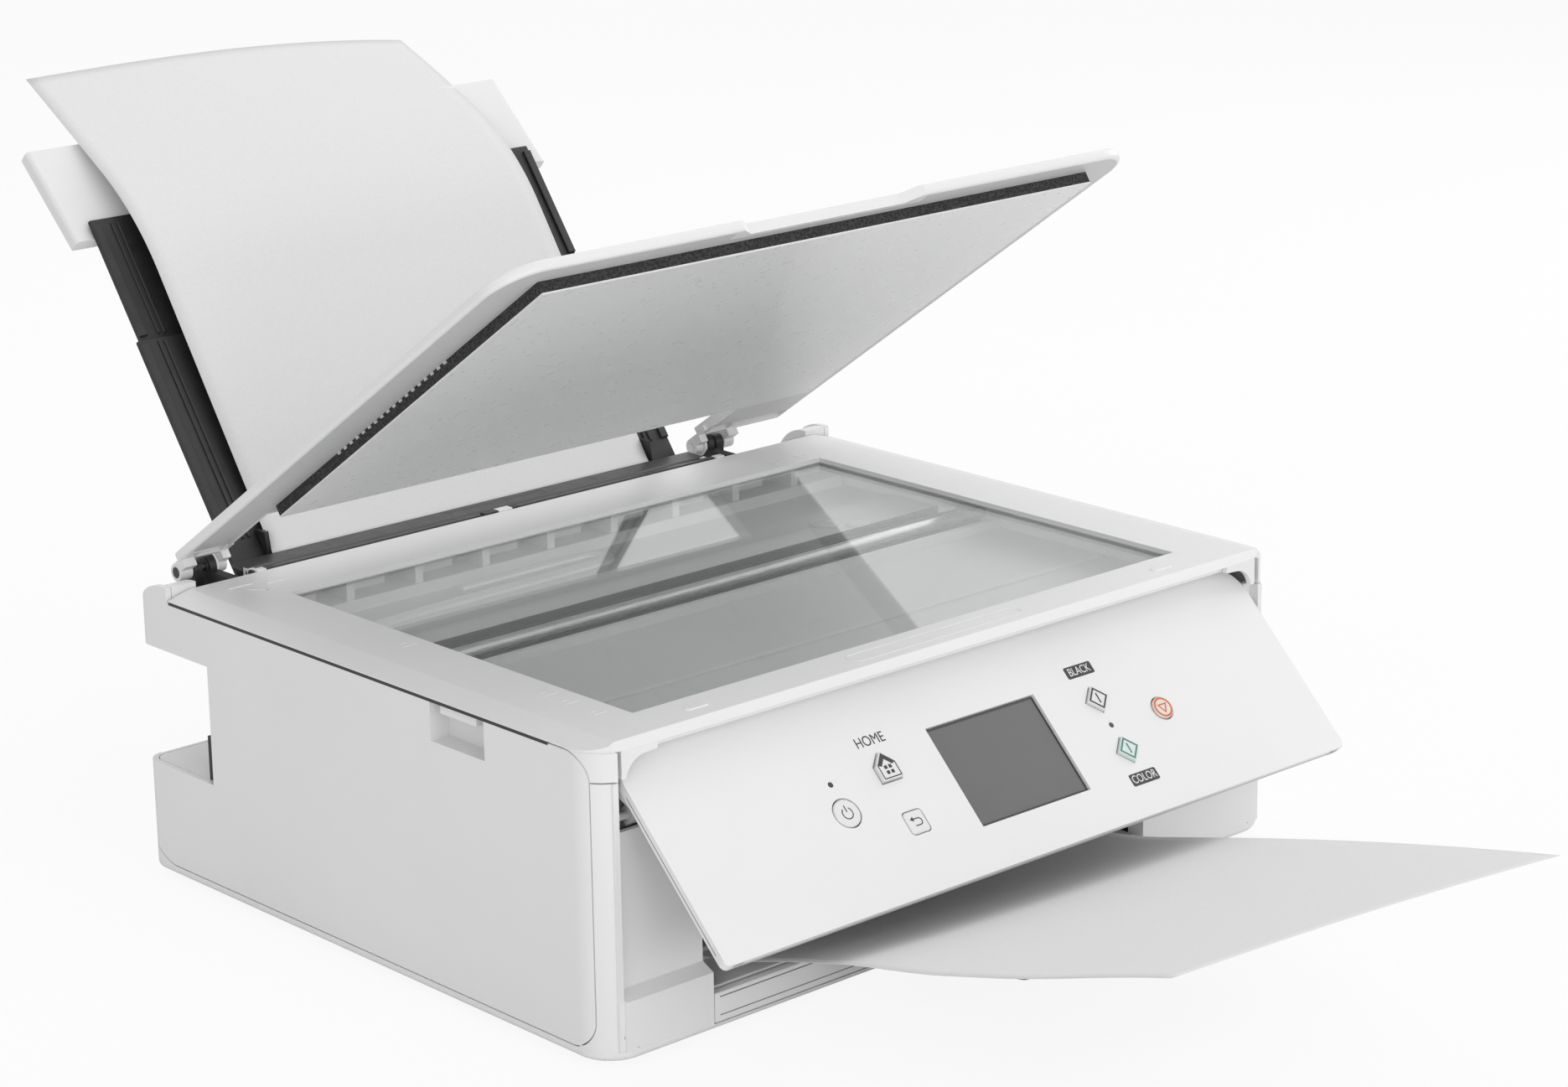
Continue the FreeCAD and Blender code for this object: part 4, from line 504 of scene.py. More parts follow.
def home_key():
    x, y = MENU_X, HIGH_ROW
    proud = 1.9
    half, low, eaves, peak = 5.0, -5.3, 1.5, 6.8
    outline = [(x - half, y + low), (x + half, y + low), (x + half, y + eaves)]
    outline += [(x, y + peak), (x - half, y + eaves)]
    key_cap("home_cap", "home_button", "home_key", LOOK["key_white"], outline, proud, 0.25)
    build = bmesh.new()
    top = proud + INK_LIFT
    band(build, PANEL, inset(outline, 0.7), 0.45, proud - INK_SINK, top)
    window = 1.5
    for side in (-1, 1):
        for rise in (-1, 1):
            middle = (x + side * 1.15, y - 1.2 + rise * 1.15)
            slab(build, PANEL, rounded_box(*middle, window, window, 0.1, 2), proud - INK_SINK, top)
    roof = inset(outline, 0.7)
    under = inset(outline, 2.3)
    gable = [roof[2], roof[3], roof[4], under[4], under[3], under[2]]
    slab(build, PANEL, gable, proud - INK_SINK, top + 0.02)
    new_piece("home_sign", build, DARK_INK_AND_SHADE, "home_key")


def start_key(name, node, body, look, ink, y):
    x = START_X
    reach = 5.7
    proud = 1.7
    outline = [(x, y - reach), (x + reach, y), (x, y + reach), (x - reach, y)]
    key_cap(name + "_cap", node, body, look, outline, proud, 0.25)
    build = bmesh.new()
    band(build, PANEL, inset(outline, 0.8), 0.75, proud - INK_SINK, proud + INK_LIFT)
    line(build, PANEL, [(x, y - 2.3), (x, y + 2.3)], 0.7, proud - INK_SINK, proud + INK_LIFT)
    new_piece(name + "_sign", build, ink, body)


def stop_key():
    x, y = 90.3, ROW
    proud = 0.9
    outline = circle(x, y, 4.85, 48)
    key_cap("stop_cap", "stop_button", "stop_key", LOOK["key_orange"], outline, proud, 0.3)
    build = bmesh.new()
    band(build, PANEL, inset(outline, 0.8), 0.9, proud - INK_SINK, proud + INK_LIFT)
    sign = [(x - 2.1, y + 1.3), (x, y - 2.3), (x + 2.1, y + 1.3)]
    band(build, PANEL, sign, 0.6, proud - INK_SINK, proud + INK_LIFT)
    new_piece("stop_sign", build, ORANGE_INK, "stop_key")


def screen():
    """The dim touch screen, set down into the panel, with a darker border."""
    x, drop = 1.9, -1.3
    build = bmesh.new()
    slab(build, PANEL, rounded_box(x, ROW, 59.7, 44.7, 0.5, 3), -3.8, drop, 0.1)
    item = new_piece("screen_glass", build, LOOK["screen"], "panel")
    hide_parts("touch_screen")
    build = bmesh.new()
    band(build, PANEL, rounded_box(x, ROW, 58.4, 43.4, 0.4, 3), 0.9, drop - 0.1, drop + 0.03)
    new_piece("screen_border", build, LOOK["lamp"], "panel")


def panel_labels():
    lettering("home_word", "HOME", PANEL, -56.2, 65.6, 4.3, 0.86, 0.08, DARK_INK_AND_SHADE, "panel")
    for name, words, y in (("black_word", "BLACK", 67.0), ("colour_word", "COLOR", 15.9)):
        build = bmesh.new()
        slab(build, PANEL, rounded_box(60.9, y, 15.2, 5.4, 0.8), -0.05, 0.06)
        new_piece(name + "_box", build, DARK_INK_AND_SHADE, "panel")
        lettering(name, words, PANEL, 60.9, y, 3.5, 0.78, 0.12, WHITE_INK, "panel")


def panel_edges():
    """Fine joint between the panel's face and its back, along the foot and the two ends."""
    build = bmesh.new()
    half = panel_high.x / MM
    depth = -2.6
    line_width = 0.35
    foot = drawing_plane(panel_edge, ACROSS, (0, math.sin(PANEL_TILT), -math.cos(PANEL_TILT)))
    bar(build, foot, (8 - half, -depth, -0.05), (half - 8, line_width - depth, 0.05))
    for side in (-1, 1):
        outer = side * (half + 0.05)
        inner = side * (half - 0.05)
        low, high = min(outer, inner), max(outer, inner)
        bar(build, PANEL, (low, 6, depth), (high, 74, depth + line_width))
    new_piece("panel_joint_line", build, SEAM_AND_SHADOW_GREY, "panel")


def panel_tips():
    """Nearly square lower corners of the panel."""
    build = bmesh.new()
    half = panel_high.x / MM
    reach = 9.0
    radius = 2.6
    low, high, edge = -3.9, 0.01, 0.5
    tip = [(half - reach, 0.0)] + arc(half - radius, radius, radius, -90, 0, 8)
    tip += [(half, reach), (half - reach, reach)]
    slab(build, PANEL, tip, low, high, edge)
    slab(build, PANEL, [(-x, y) for x, y in reversed(tip)], low, high, edge)
    new_piece("panel_tips", build, LOOK["case_white"], "panel")


power_key()
back_key()
home_key()
start_key("black_start", "black_start_button", "black_start_key", LOOK["key_black"], DARK_INK_AND_SHADE, HIGH_ROW)
start_key("colour_start", "colour_start_button", "colour_start_key", LOOK["key_teal"], TEAL_INK, LOW_ROW)
stop_key()
screen()
panel_labels()
panel_edges()
panel_tips()


# Paper

SHEET_THICK = 0.14


def bent_path(start, heading, slope, runs, radius, bend, steps):
    """Points and upward normals of a straight run, an arc and a straight run, in a plane of depth and height.

    heading is 1 towards the back and -1 towards the front. A positive bend turns the run upward.
    """
    first, last = runs
    curve = radius * math.radians(abs(bend))
    total = first + curve + last
    points = []
    y, z = start
    step = total / steps
    for number in range(steps + 1):
        middle = (number - 0.5) * step
        turned = min(max((middle - first) / curve, 0.0), 1.0) * bend
        angle = math.radians(slope + turned)
        if number:
            y += heading * math.cos(angle) * step
            z += math.sin(angle) * step
        points.append((y, z, -heading * math.sin(angle), math.cos(angle)))
    return points


def paper_sheet(name, path, left, width, columns, lift):
    """A thin closed sheet over a path. lift(across, along) raises it along its normal, in millimetres."""
    build = bmesh.new()
    layers = []
    rows = len(path) - 1
    for side in (SHEET_THICK / 2, -SHEET_THICK / 2):
        grid = []
        for number, (y, z, out_y, out_z) in enumerate(path):
            row = []
            for column in range(columns + 1):
                across = column / columns
                out = lift(across, number / rows) + side
                place = (left + width * across, y + out_y * out, z + out_z * out)
                row.append(build.verts.new(Vector(place) * MM))
            grid.append(row)
        layers.append(grid)
    for grid in layers:
        for low, high in zip(grid, grid[1:]):
            for column in range(columns):
                build.faces.new((low[column], low[column + 1], high[column + 1], high[column]))
    rim = []
    for grid in layers:
        ends = [row[-1] for row in grid[1:-1]], [row[0] for row in grid[1:-1]]
        rim.append(grid[0] + ends[0] + grid[-1][::-1] + ends[1][::-1])
    count = len(rim[0])
    for number in range(count):
        after = (number + 1) % count
        build.faces.new((rim[0][number], rim[0][after], rim[1][after], rim[1][number]))
    item = new_piece(name, build, LOOK["paper"])
    for face in item.data.polygons:
        face.use_smooth = True
    return item


def loaded_sheet():
    """The sheet on the rear support. Its free top bows, and its right corner hangs lower."""
    low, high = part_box("loaded_sheet")
    start = (low.y / MM, low.z / MM + 0.3)

    def lift(across, along):
        free = max(0.0, (along - 0.62) / 0.38)
        return free * free * (2.0 * math.sin(math.pi * across) - 9.0 * across ** 3)

    path = bent_path(start, 1, 56.0, (175.3, 65.0), 130.0, -25.0, 60)
    item = paper_sheet("paper_loaded", path, low.x / MM, (high.x - low.x) / MM, 30, lift)
    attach(item, "case")
    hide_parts("loaded_sheet")
    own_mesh(item)


def ease(value, start, end):
    """Rises smoothly from 0 at start to 1 at end."""
    share = min(max((value - start) / (end - start), 0.0), 1.0)
    return share * share * (3 - 2 * share)


FLAP_Y = -188.0
FLAP_Z = 20.7
FLAP_RISE = math.radians(20)
TRAY_HALF = 74.0
WAIST = 43.0
BARREL = 1.5


def output_tray():
    """Dark tray that narrows to its hinge and the flap that widens again in front of it."""
    middle, wide = PATH_MIDDLE, TRAY_HALF
    under, top = FLAP_Z - BARREL, FLAP_Z + 0.3
    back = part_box("output_tray")[1].y / MM
    shoulder = -120.0
    front = FLAP_Y + BARREL + 0.3
    tongue = 29.0
    build = bmesh.new()
    outline = [(middle + wide, back), (middle - wide, back), (middle - wide, shoulder)]
    outline += [(middle - WAIST, front), (middle + WAIST, front), (middle + wide, shoulder)]
    slab(build, LEVEL, outline, under, top, 0.3)
    lug = arc(FLAP_Y, FLAP_Z, BARREL, 90, 270, 12) + [(front + 2.0, under), (front + 2.0, top)]
    for side in (-1, 1):
        ends = sorted((middle + side * (tongue + 0.5), middle + side * WAIST))
        slab(build, SIDE, lug[::-1], ends[0], ends[1])
    for number in range(7):
        x = middle - 36.0 + 12.0 * number
        bar(build, LEVEL, (x - 0.6, front + 3.0, top - 0.2), (x + 0.6, back - 3.0, top + 0.25), 0.1)
    item = new_piece("exit_tray", build, LOOK["dark_plastic"], "tray")
    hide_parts("output_tray")
    plane = drawing_plane(
        (0, FLAP_Y * MM, FLAP_Z * MM), (-1, 0, 0), (0, -math.cos(FLAP_RISE), math.sin(FLAP_RISE))
    )
    reach = 80.0
    corner = 3.0
    build = bmesh.new()
    outline = [(-middle - WAIST, 1.9), (WAIST - middle, 1.9)]
    outline += arc(wide - middle - corner, reach - corner, corner, 0, 90, 6)
    outline += arc(corner - wide - middle, reach - corner, corner, 90, 180, 6)
    slab(build, plane, outline, -BARREL, 0.3, 0.3)
    bar(build, plane, (-middle - tongue, 0.0, 0.1 - BARREL), (tongue - middle, 2.4, 0.25))
    slab(build, SIDE, circle(FLAP_Y, FLAP_Z, BARREL, 20), middle - tongue, middle + tongue)
    for number in range(7):
        x = -middle - 36.0 + 12.0 * number
        bar(build, plane, (x - 0.6, 4.0, 0.1), (x + 0.6, reach - 5.0, 0.55), 0.1)
    item = new_piece("exit_flap", build, LOOK["dark_plastic"], "flap")
    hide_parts("output_support")


def printed_sheet():
    """The sheet on the output tray. Its left edge stands up and its right front corner hangs."""
    low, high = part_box("printed_sheet")
    start = (high.y / MM, low.z / MM + 0.2)

    def lift(across, along):
        left = 5.5 * ease(along, 0.08, 0.34) - 2.5 * ease(along, 0.42, 0.62) + 3.0 * ease(along, 0.7, 1.0)
        free = max(0.0, (along - 0.45) / 0.55) ** 2
        bow = 1.5 * math.sin(math.pi * across) - 5.5 * across ** 2
        return left * (1 - across) ** 2 + free * bow

    path = bent_path(start, -1, 0.0, (43.4, 203.0), 200.0, 14.5, 60)
    item = paper_sheet("paper_printed", path, low.x / MM, (high.x - low.x) / MM, 30, lift)
    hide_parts("printed_sheet")
    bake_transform(item)


loaded_sheet()
output_tray()
printed_sheet()


# Scanner bezel and what lies under the glass

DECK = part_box("scanner_bezel")[1].z / MM


def bezel_marks():
    """Raised signs on the bezel: the stop pads, the finger recess and the paper size marks."""
    build = bmesh.new()
    low = DECK - 0.2
    band(build, LEVEL, rounded_box(-1.0, -127.6, 93.0, 8.6, 3.6, 8), 0.9, low, DECK + 0.22)
    for x, y in ((-127.1, -128.0), (127.9, -129.0)):
        slab(build, LEVEL, rounded_box(x, y, 11.0, 4.6, 2.2, 8), low, DECK + 0.45, 0.4)
    height = DECK + 0.14
    for y in (7.4, -78.9, -92.0, -108.9):
        line(build, LEVEL, [(-153.6, y), (-160.0, y)], 0.45, low, height)
        line(build, LEVEL, [(-156.4, y + 0.4), (-156.4, y + 3.4), (-159.0, y + 3.4)], 0.4, low, height)
    for x in (126.0, 142.5):
        line(build, LEVEL, [(x, 106.0), (x, 111.5)], 0.45, low, height)
        line(build, LEVEL, [(x + 1.6, 107.0), (x + 4.6, 107.0), (x + 4.6, 110.0)], 0.4, low, height)
    slab(build, LEVEL, [(-154.0, 107.0), (-150.5, 108.0), (-153.0, 110.5)], low, height)
    line(build, LEVEL, [(-152.5, 108.8), (-158.5, 115.0)], 0.6, low, height)
    line(build, LEVEL, [(-164.0, 121.0), (-152.0, 121.0), (-150.0, 124.0)], 0.7, low, DECK + 0.35)
    line(build, LEVEL, [(-148.0, 116.5), (-137.0, 116.5)], 0.7, low, DECK + 0.35)
    new_piece("bezel_marks", build, LOOK["case_white"], "scanner")


TUB_FLOOR = 107.0
BAY_HALF = 168.0
RAIL_Y = 17.0
BELT_Y = 27.0


def scan_bay():
    """Steps, ribs, rail and cable on the tub's floor."""
    low = TUB_FLOOR - 0.3
    build = bmesh.new()
    bar(build, LEVEL, (-BAY_HALF, 38.2, low), (BAY_HALF, 74.0, TUB_FLOOR + 2.4), 0.5)
    bar(build, LEVEL, (-BAY_HALF, -60.0, low), (BAY_HALF, -56.5, TUB_FLOOR + 1.4), 0.4)
    bar(build, LEVEL, (-BAY_HALF, 106.0, low), (BAY_HALF, 125.8, TUB_FLOOR + 5.0), 0.6)
    for number in range(9):
        x = -150.0 + 36.0 * number
        bar(build, LEVEL, (x, 108.0, TUB_FLOOR + 4.0), (x + 4.0, 125.8, TUB_FLOOR + 13.0), 0.6)
        bar(build, LEVEL, (x + 10.0, 119.0, TUB_FLOOR + 4.0), (x + 28.0, 125.8, TUB_FLOOR + 9.0), 0.6)
    new_piece("tub_steps", build, TUB_GREY, "scanner")
    build = bmesh.new()
    bar(build, LEVEL, (-BAY_HALF, RAIL_Y - 5.0, low), (BAY_HALF, BELT_Y + 7.5, TUB_FLOOR + 1.6), 0.4)
    bar(build, LEVEL, (-BAY_HALF, BELT_Y + 5.2, low), (BAY_HALF, BELT_Y + 7.5, TUB_FLOOR + 3.6), 0.3)
    new_piece("rail_channel", build, LOOK["dark_plastic"], "scanner")
    build = bmesh.new()
    for number in range(140):
        x = -140.0 + 2.0 * number
        bar(build, LEVEL, (x, BELT_Y - 6.6, TUB_FLOOR + 1.2), (x + 1.1, BELT_Y - 5.2, TUB_FLOOR + 4.2), 0.2)
    bar(build, LEVEL, (-141.0, BELT_Y - 7.2, TUB_FLOOR + 1.2), (141.0, BELT_Y - 6.4, TUB_FLOOR + 4.2), 0.2)
    new_piece("belt_teeth", build, LOOK["light_grey_plastic"], "scanner")
    build = bmesh.new()
    for x, y, radius in ((112.0, 58.0, 7.0), (122.0, 46.0, 6.0)):
        slab(build, LEVEL, circle(x, y, radius), TUB_FLOOR + 1.5, TUB_FLOOR + 3.9, 0.4)
        band(build, LEVEL, circle(x, y, radius * 0.62), 1.0, TUB_FLOOR + 3.5, TUB_FLOOR + 4.1)
        slab(build, LEVEL, circle(x, y, radius * 0.3, 20), TUB_FLOOR + 3.5, TUB_FLOOR + 4.1, 0.2)
    new_piece("belt_wheels", build, LOOK["light_grey_plastic"], "scanner")
    flat_cable()


def flat_cable():
    """A ribbon cable that lies in a long bend behind the rail."""
    build = bmesh.new()
    for number in range(6):
        shift = 1.15 * number
        path = [(-128.0, 80.0 + shift), (-90.0, 83.0 + shift), (-40.0, 84.0 + shift), (0.0, 85.0 + shift)]
        path += arc(8.0, 94.0 + shift * 0.2, 9.0 - shift * 0.8, -88, 88, 12)
        path += [(-20.0, 103.0 - shift * 0.6), (-60.0, 102.6 - shift * 0.6)]
        line(build, LEVEL, path, 0.95, TUB_FLOOR - 0.2, TUB_FLOOR + 1.2 + 0.12 * (number % 2))
    new_piece("flat_cable", build, CABLE_WHITE, "scanner")


bezel_marks()
scan_bay()


# Lid

LID_ANGLE = math.radians(34.5)
HINGE_Y = 153.0
HINGE_Z = 128.5


def lid_plane():
    """Plane of the lid in its shut place, turned up about the hinge line."""
    shift = Matrix.Translation(Vector((0, HINGE_Y, HINGE_Z)) * MM)
    return shift @ Matrix.Rotation(-LID_ANGLE, 4, "X") @ shift.inverted() @ LEVEL


def lid_details():
    """Row of tape teeth along the foam's left edge."""
    plane = lid_plane()
    build = bmesh.new()
    for number in range(18):
        y = -46.0 + 5.1 * number
        bar(build, plane, (-147.7, y, 129.9), (-146.9, y + 1.6, 130.95), 0.1)
    new_piece("foam_teeth", build, LOOK["light_grey_plastic"], "lid")


lid_details()


# Rear: feed slot, hinges and support

def slot_parts():
    """Dark bar in front of the feed slot and the round-edged cover behind it."""
    build = bmesh.new()
    outline = [(133.9, 119.0), (138.5, 119.0), (138.5, 126.6), (137.9, 127.3), (135.2, 127.3), (133.9, 125.6)]
    slab(build, SIDE, outline, -142.0, 116.0, 0.3)
    new_piece("slot_bar_trim", build, SLOT_GREY, "case")
    low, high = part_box("feed_slot_cover")
    axis_y, axis_z, radius = 141.0, 125.2, 2.25
    rear = high.y / MM
    build = bmesh.new()
    top = axis_z + radius
    outline = arc(axis_y, axis_z, radius, 90, 290, 14)
    outline += [(axis_y + 1.2, top - 2.0), (rear - 0.6, top - 1.9), (rear, top - 1.2), (rear - 0.5, top)]
    slab(build, SIDE, outline, low.x / MM, high.x / MM, 0.3)
    item = new_piece("slot_cover", build, SLOT_GREY, "slot_cover")
    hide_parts("feed_slot_cover")
    build = bmesh.new()
    for x in (-96.0, -30.0, 22.0, 52.0):
        bar(build, LEVEL, (x, 143.2, top - 0.4), (x + 0.5, rear - 0.8, top + 0.04))
    bar(build, LEVEL, (-30.0, 147.2, top - 0.4), (22.0, 147.6, top + 0.04))
    new_piece("slot_cover_lines", build, DARK_INK_AND_SHADE, "slot_cover")
    build = bmesh.new()
    bar(build, FACING, (-12.0, 124.0, -137.6), (-4.5, 127.8, -133.4), 0.3)
    for x in (-141.0, 115.2):
        bar(build, FACING, (x, 123.6, -137.0), (x + 5.0, 127.7, -133.4), 0.4)
    new_piece("slot_clips", build, LOOK["case_white"], "case")
    build = bmesh.new()
    bar(build, FACING, (-20.0, 123.0, -137.0), (-12.4, 127.9, -133.5), 0.3)
    bar(build, FACING, (-4.1, 123.0, -137.0), (-1.0, 127.9, -133.5), 0.3)
    new_piece("slot_catch", build, LOOK["dark_plastic"], "case")


def hinge_parts():
    """Black brake discs beside the lid's inner lugs, the collars next to them, and flat dark discs of painted
    shade for the outer lugs' holes.
    """
    discs = bmesh.new()
    collars = bmesh.new()
    for side in (-1, 1):
        for build, near, far, radius in ((discs, 137.0, 140.6, 5.6), (collars, 135.2, 137.0, 4.9)):
            ends = sorted((PATH_MIDDLE + side * near, PATH_MIDDLE + side * far))
            slab(build, SIDE, circle(HINGE_Y, HINGE_Z, radius, 36), ends[0], ends[1], 0.4)
    new_piece("hinge_discs", discs, LOOK["dark_plastic"], "scanner")
    new_piece("hinge_collars", collars, LOOK["case_white"], "scanner")
    # Flat dark discs barely proud of the outer lugs' faces: painted shade standing in for the pin holes.
    hole_shade_discs = bmesh.new()
    lug_reach = 154.0
    proud = 0.07
    for face in (PATH_MIDDLE - lug_reach, PATH_MIDDLE + lug_reach):
        slab(hole_shade_discs, SIDE, circle(HINGE_Y, HINGE_Z, 2.4, 24), face - proud, face + proud)
    new_piece("lug_hole_painted_shade", hole_shade_discs, DARK_INK_AND_SHADE, "lid")


SUPPORT_LEAN = math.radians(36)


def support_ribs():
    """Raised edges and ribs on the two stages of the paper support."""
    plane = drawing_plane(
        (0, 0.1592, 0.130), ACROSS, (0, math.sin(SUPPORT_LEAN), math.cos(SUPPORT_LEAN))
    )
    for name, body, node, low, high, out in (
        ("lower_ribs", "lower_support", "support_lower", 4.0, 99.0, 0.0),
        ("upper_ribs", "upper_support", "support_upper", 103.0, 157.0, -2.3),
    ):
        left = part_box(node)[0].x / MM
        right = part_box(node)[1].x / MM
        build = bmesh.new()
        root = out - 0.4
        for start, width, height in ((0.2, 4.0, 1.3), (9.5, 1.4, 0.8), (12.5, 1.4, 0.8)):
            top = out + height
            bar(build, plane, (left + start, low, root), (left + start + width, high, top), 0.3)
            bar(build, plane, (right - start - width, low, root), (right - start, high, top), 0.3)
        for number in range(1, 8):
            x = left + (right - left) * number / 8
            bar(build, plane, (x - 0.8, low, root), (x + 0.8, high, out + 0.25), 0.1)
        new_piece(name, build, LOOK["dark_plastic"], body)


slot_parts()
hinge_parts()
support_ribs()


# Front corners

CORNER_X = 170.0
CORNER_Y = -126.0
CORNER_R = 16.0
QUARTER = CORNER_R * math.pi / 2


def wrap(side, run, height, out):
    """Point on the case's front corner. run is 0 where the front ends and grows round to the side."""
    turn = min(max(run / CORNER_R, 0.0), math.pi / 2)
    x = CORNER_X + (CORNER_R + out) * math.sin(turn) + min(run, 0.0)
    y = CORNER_Y - (CORNER_R + out) * math.cos(turn) + max(run - QUARTER, 0.0)
    return Vector((side * x, y, height)) * MM


def wrapped_line(build, side, points, width, low, high):
    """A line on the front corner through points of run and height, between two depths of its skin."""
    rings = []
    for left, right in zip(*line_sides(points, width)):
        rings.append([
            wrap(side, *left, low),
            wrap(side, *left, high),
            wrap(side, *right, high),
            wrap(side, *right, low),
        ])
    loft(build, rings)


def front_corners():
    """Fillets at the bezel's corners, lining behind the panel, feet and lines of the corners, and dark strips
    of painted shadow along the side seams.
    """
    build = bmesh.new()
    web_back, web_front = 138.0, 140.45
    web = [(174.0, 113.2), (174.0, 124.2), (156.5, 124.2), (156.5, 121.3)]
    web += arc(162.1, 111.0, 10.0, 90, 12, 10)
    for side in (-1, 1):
        slab(build, FACING, [(side * x, z) for x, z in web], web_back, web_front)
    new_piece("bezel_corner_webs", build, LOOK["case_white"], "scanner")
    build = bmesh.new()
    bar(build, FACING, (-172.0, 88.0, 125.5), (172.0, 103.5, 127.0), 0.4)
    new_piece("recess_lining", build, LOOK["case_white"], "case")
    build = bmesh.new()
    steps = 12
    foot = [(QUARTER * number / steps, 6.5) for number in range(steps + 1)]
    for side in (-1, 1):
        wrapped_line(build, side, foot, 3.6, -1.6, -0.15)
    new_piece("corner_feet", build, LOOK["case_white"], "case")
    build = bmesh.new()
    run, turn_z = 7.9, 19.5
    block = [(run, 31.0), (run, turn_z)]
    for step in (0.3, 0.6, 0.9, 1.2, 1.5):
        block.append((run - 8.0 * (1 - math.cos(step)), turn_z - 12.0 * math.sin(step)))
    for side in (-1, 1):
        wrapped_line(build, side, block, 0.45, -0.2, 0.05)
    new_piece("corner_block_lines", build, SEAM_AND_SHADOW_GREY, "case")
    # Dark strips just proud of the side covers, below the bezel: painted shadow of the gap between the bezel
    # and the side covers.
    build = bmesh.new()
    for side in (-1, 1):
        ends = sorted((side * 185.0, side * 186.06))
        bar(build, SIDE, (-113.0, 122.7, ends[0]), (132.6, 123.85, ends[1]))
    new_piece("side_seam_painted_shadows", build, DARK_INK_AND_SHADE, "case")


front_corners()


# Paper exit and rear of the case

def exit_parts():
    """Grey runners beside the output tray and two fine dark lines along the cassette's front, the upper one
    painted shadow.
    """
    build = bmesh.new()
    for low, high in ((-131.5, -90.5), (62.5, 103.5)):
        bar(build, LEVEL, (low, -138.5, 18.2), (high, -92.0, 19.0), 0.3)
        bar(build, LEVEL, (low, -116.0, 18.8), (high, -112.5, 24.0), 0.5)
    new_piece("exit_runners", build, LOOK["light_grey_plastic"], "case")
    front = -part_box("cassette")[0].y / MM
    build = bmesh.new()
    # The upper line is painted shadow of the gap between the cassette's top and the part above it; the lower
    # line is a plain fine line on its face.
    for height, width in ((8.2, 0.4), (15.6, 0.5)):
        bar(build, FACING, (-130.0, height, front - 0.05), (102.0, height + width, front + 0.06))
    new_piece("cassette_line_and_painted_shadow", build, SEAM_AND_SHADOW_GREY, "cassette_body")


def rear_vent_painted_shade():
    """Rows of narrow vents in the rear cover, drawn as flat dark slots of painted shade."""
    build = bmesh.new()
    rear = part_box("rear_cover")[1].y / MM
    back = drawing_plane((0, rear * MM, 0), (-1, 0, 0), UP)
    # Each vent is a flat dark slab barely proud of the cover: painted shade in place of an opening.
    for row in range(2):
        for number in range(14):
            x = -120.0 + 7.0 * number
            slab(build, back, rounded_box(x, 60.0 + 20.0 * row, 2.4, 15.0, 1.1, 4), -0.2, 0.05)
    new_piece("rear_vent_painted_shade", build, DARK_INK_AND_SHADE, "case")


exit_parts()
rear_vent_painted_shade()


# Camera, light and floor

camera_data = bpy.data.cameras.new("camera")
camera = bpy.data.objects.new("camera", camera_data)
scene.collection.objects.link(camera)
camera_data.sensor_fit = "HORIZONTAL"
camera_data.sensor_width = 36.0
camera_data.lens = 91.134
camera_data.clip_start = 0.05
camera_data.clip_end = 60.0
right = Vector((0.737383, -0.675334, -0.013777))
down = Vector((-0.198881, -0.197572, -0.959902))
ahead = Vector((0.645533, 0.710555, -0.279997))
turn = Matrix((right, -down, -ahead)).transposed().to_4x4()
camera.matrix_world = Matrix.Translation((-1.0452, -1.1889, 0.5991)) @ turn
scene.camera = camera


def area_light(name, place, target, size, power):
    data = bpy.data.lights.new(name, "AREA")
    data.shape = "RECTANGLE"
    data.size = size[0]
    data.size_y = size[1]
    data.energy = power
    item = bpy.data.objects.new(name, data)
    scene.collection.objects.link(item)
    item.location = place
    aim = Vector(target) - Vector(place)
    item.rotation_euler = aim.to_track_quat("-Z", "Y").to_euler()
    return item


area_light("top_soft", (0.5, 0.5, 1.7), (0.0, 0.0, 0.1), (1.6, 1.6), 7.0)
area_light("front_soft", (-0.2, -1.9, 0.9), (0.0, 0.0, 0.1), (1.6, 1.2), 7.0)
area_light("right_soft", (1.8, -0.1, 0.9), (0.0, 0.0, 0.15), (1.4, 1.4), 9.0)
area_light("left_soft", (-2.0, -1.4, 0.9), (0.0, 0.0, 0.1), (1.4, 1.0), 9.0)
area_light("front_low", (-0.5, -2.2, 0.4), (0.0, -0.1, 0.06), (1.2, 0.6), 5.0)

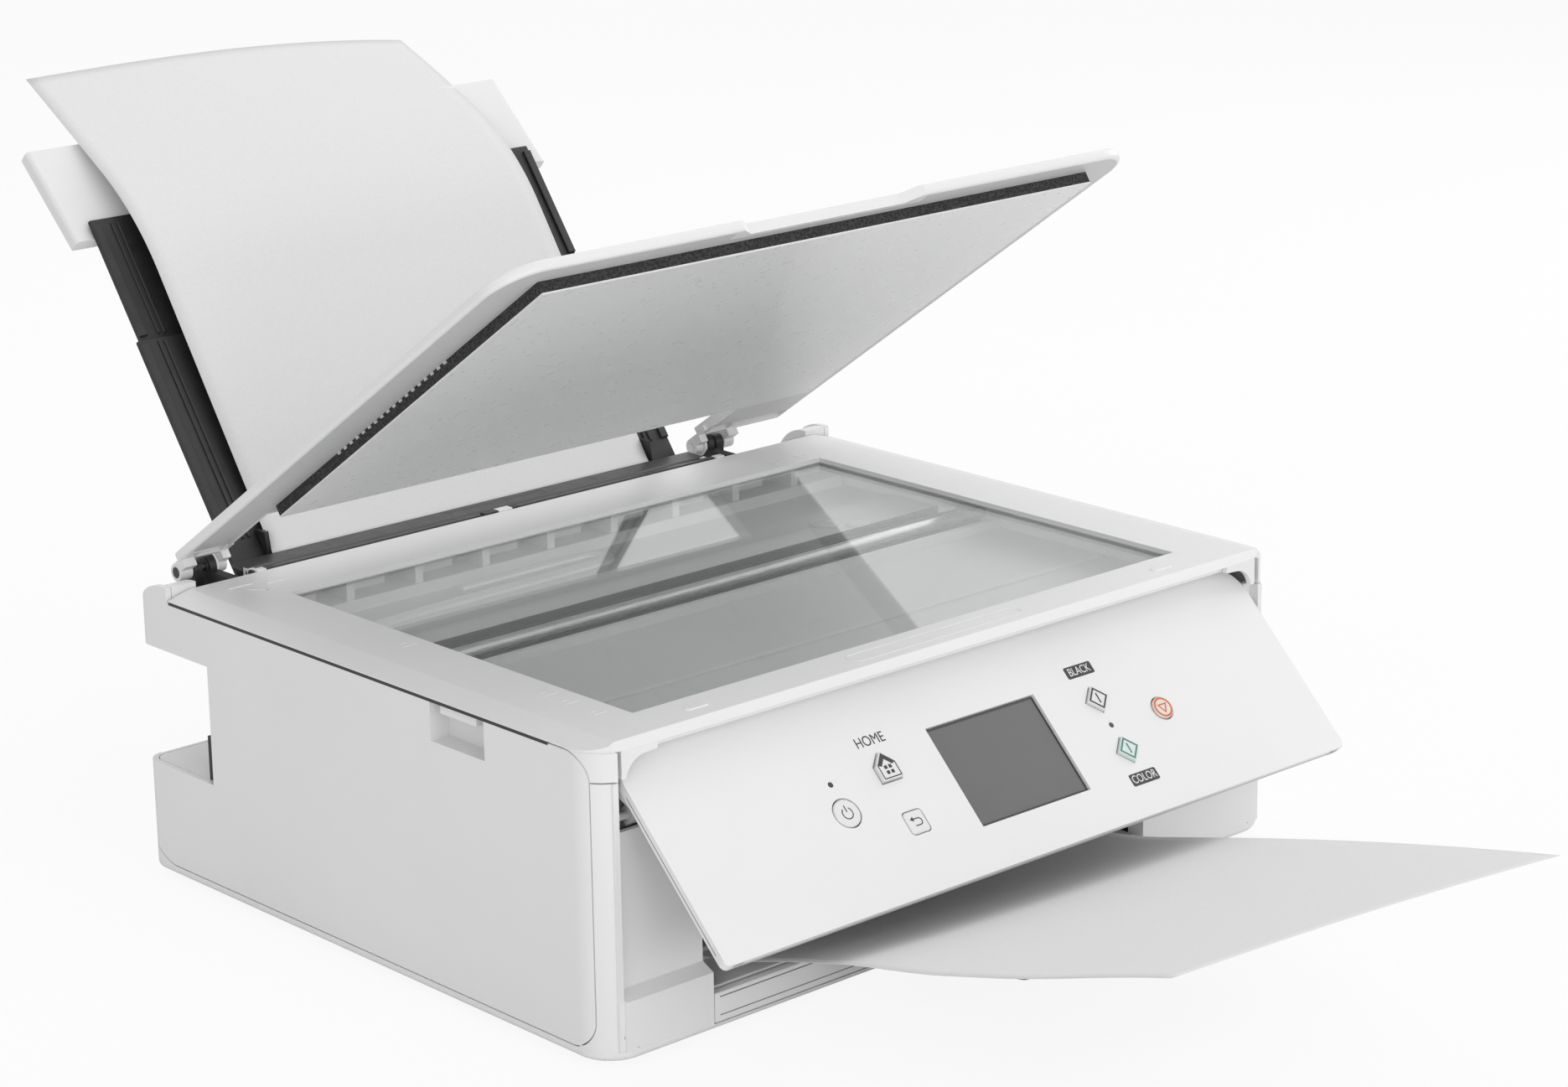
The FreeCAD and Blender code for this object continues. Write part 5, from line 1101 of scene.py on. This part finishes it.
world = bpy.data.worlds.new("studio")
scene.world = world
world.use_nodes = True
tree = world.node_tree
tree.nodes.clear()
soft = add_node(tree, "ShaderNodeBackground", Color=(1, 1, 1, 1), Strength=0.58)
bright = add_node(tree, "ShaderNodeBackground", Color=(1, 1, 1, 1), Strength=1.0)
path = add_node(tree, "ShaderNodeLightPath")
camera_or_gloss = add_node(tree, "ShaderNodeMath", operation="MAXIMUM")
seen = add_node(tree, "ShaderNodeMath", operation="MAXIMUM")
tree.links.new(path.outputs["Is Camera Ray"], camera_or_gloss.inputs[0])
tree.links.new(path.outputs["Is Glossy Ray"], camera_or_gloss.inputs[1])
tree.links.new(camera_or_gloss.outputs[0], seen.inputs[0])
tree.links.new(path.outputs["Is Transmission Ray"], seen.inputs[1])
mix = add_node(tree, "ShaderNodeMixShader")
out = add_node(tree, "ShaderNodeOutputWorld")
tree.links.new(seen.outputs[0], mix.inputs["Fac"])
tree.links.new(soft.outputs[0], mix.inputs[1])
tree.links.new(bright.outputs[0], mix.inputs[2])
tree.links.new(mix.outputs[0], out.inputs["Surface"])


def floor_look():
    """Pale floor that is nearly white to the camera and keeps the shadow."""
    material, tree, shader = principled("pale_floor")
    cloud = noise(tree, 3.0, 2.0)
    tone = two_tones(tree, cloud, (0.88, 0.88, 0.88), (0.9, 0.9, 0.9))
    tree.links.new(tone.outputs["Color"], shader.inputs["Base Color"])
    shader.inputs["Roughness"].default_value = 0.9
    shader.inputs["Specular IOR Level"].default_value = 0.0
    glow = add_node(tree, "ShaderNodeEmission", Color=(1, 1, 1, 1), Strength=1.0)
    path = add_node(tree, "ShaderNodeLightPath")
    share = add_node(tree, "ShaderNodeMath", operation="MULTIPLY")
    share.inputs[1].default_value = 0.9
    tree.links.new(path.outputs["Is Camera Ray"], share.inputs[0])
    mix = add_node(tree, "ShaderNodeMixShader")
    tree.links.new(share.outputs[0], mix.inputs["Fac"])
    tree.links.new(shader.outputs["BSDF"], mix.inputs[1])
    tree.links.new(glow.outputs[0], mix.inputs[2])
    tree.links.new(mix.outputs[0], tree.nodes["Material Output"].inputs["Surface"])
    return material


def make_floor():
    mesh = bpy.data.meshes.new("floor")
    reach = 6.0
    height = -0.0002
    corners = [(-reach, -reach), (reach, -reach), (reach, reach), (-reach, reach)]
    mesh.from_pydata([(x, y, height) for x, y in corners], [], [(0, 1, 2, 3)])
    mesh.materials.append(floor_look())
    item = bpy.data.objects.new("floor", mesh)
    scene.collection.objects.link(item)


make_floor()

scene.view_settings.view_transform = "Standard"
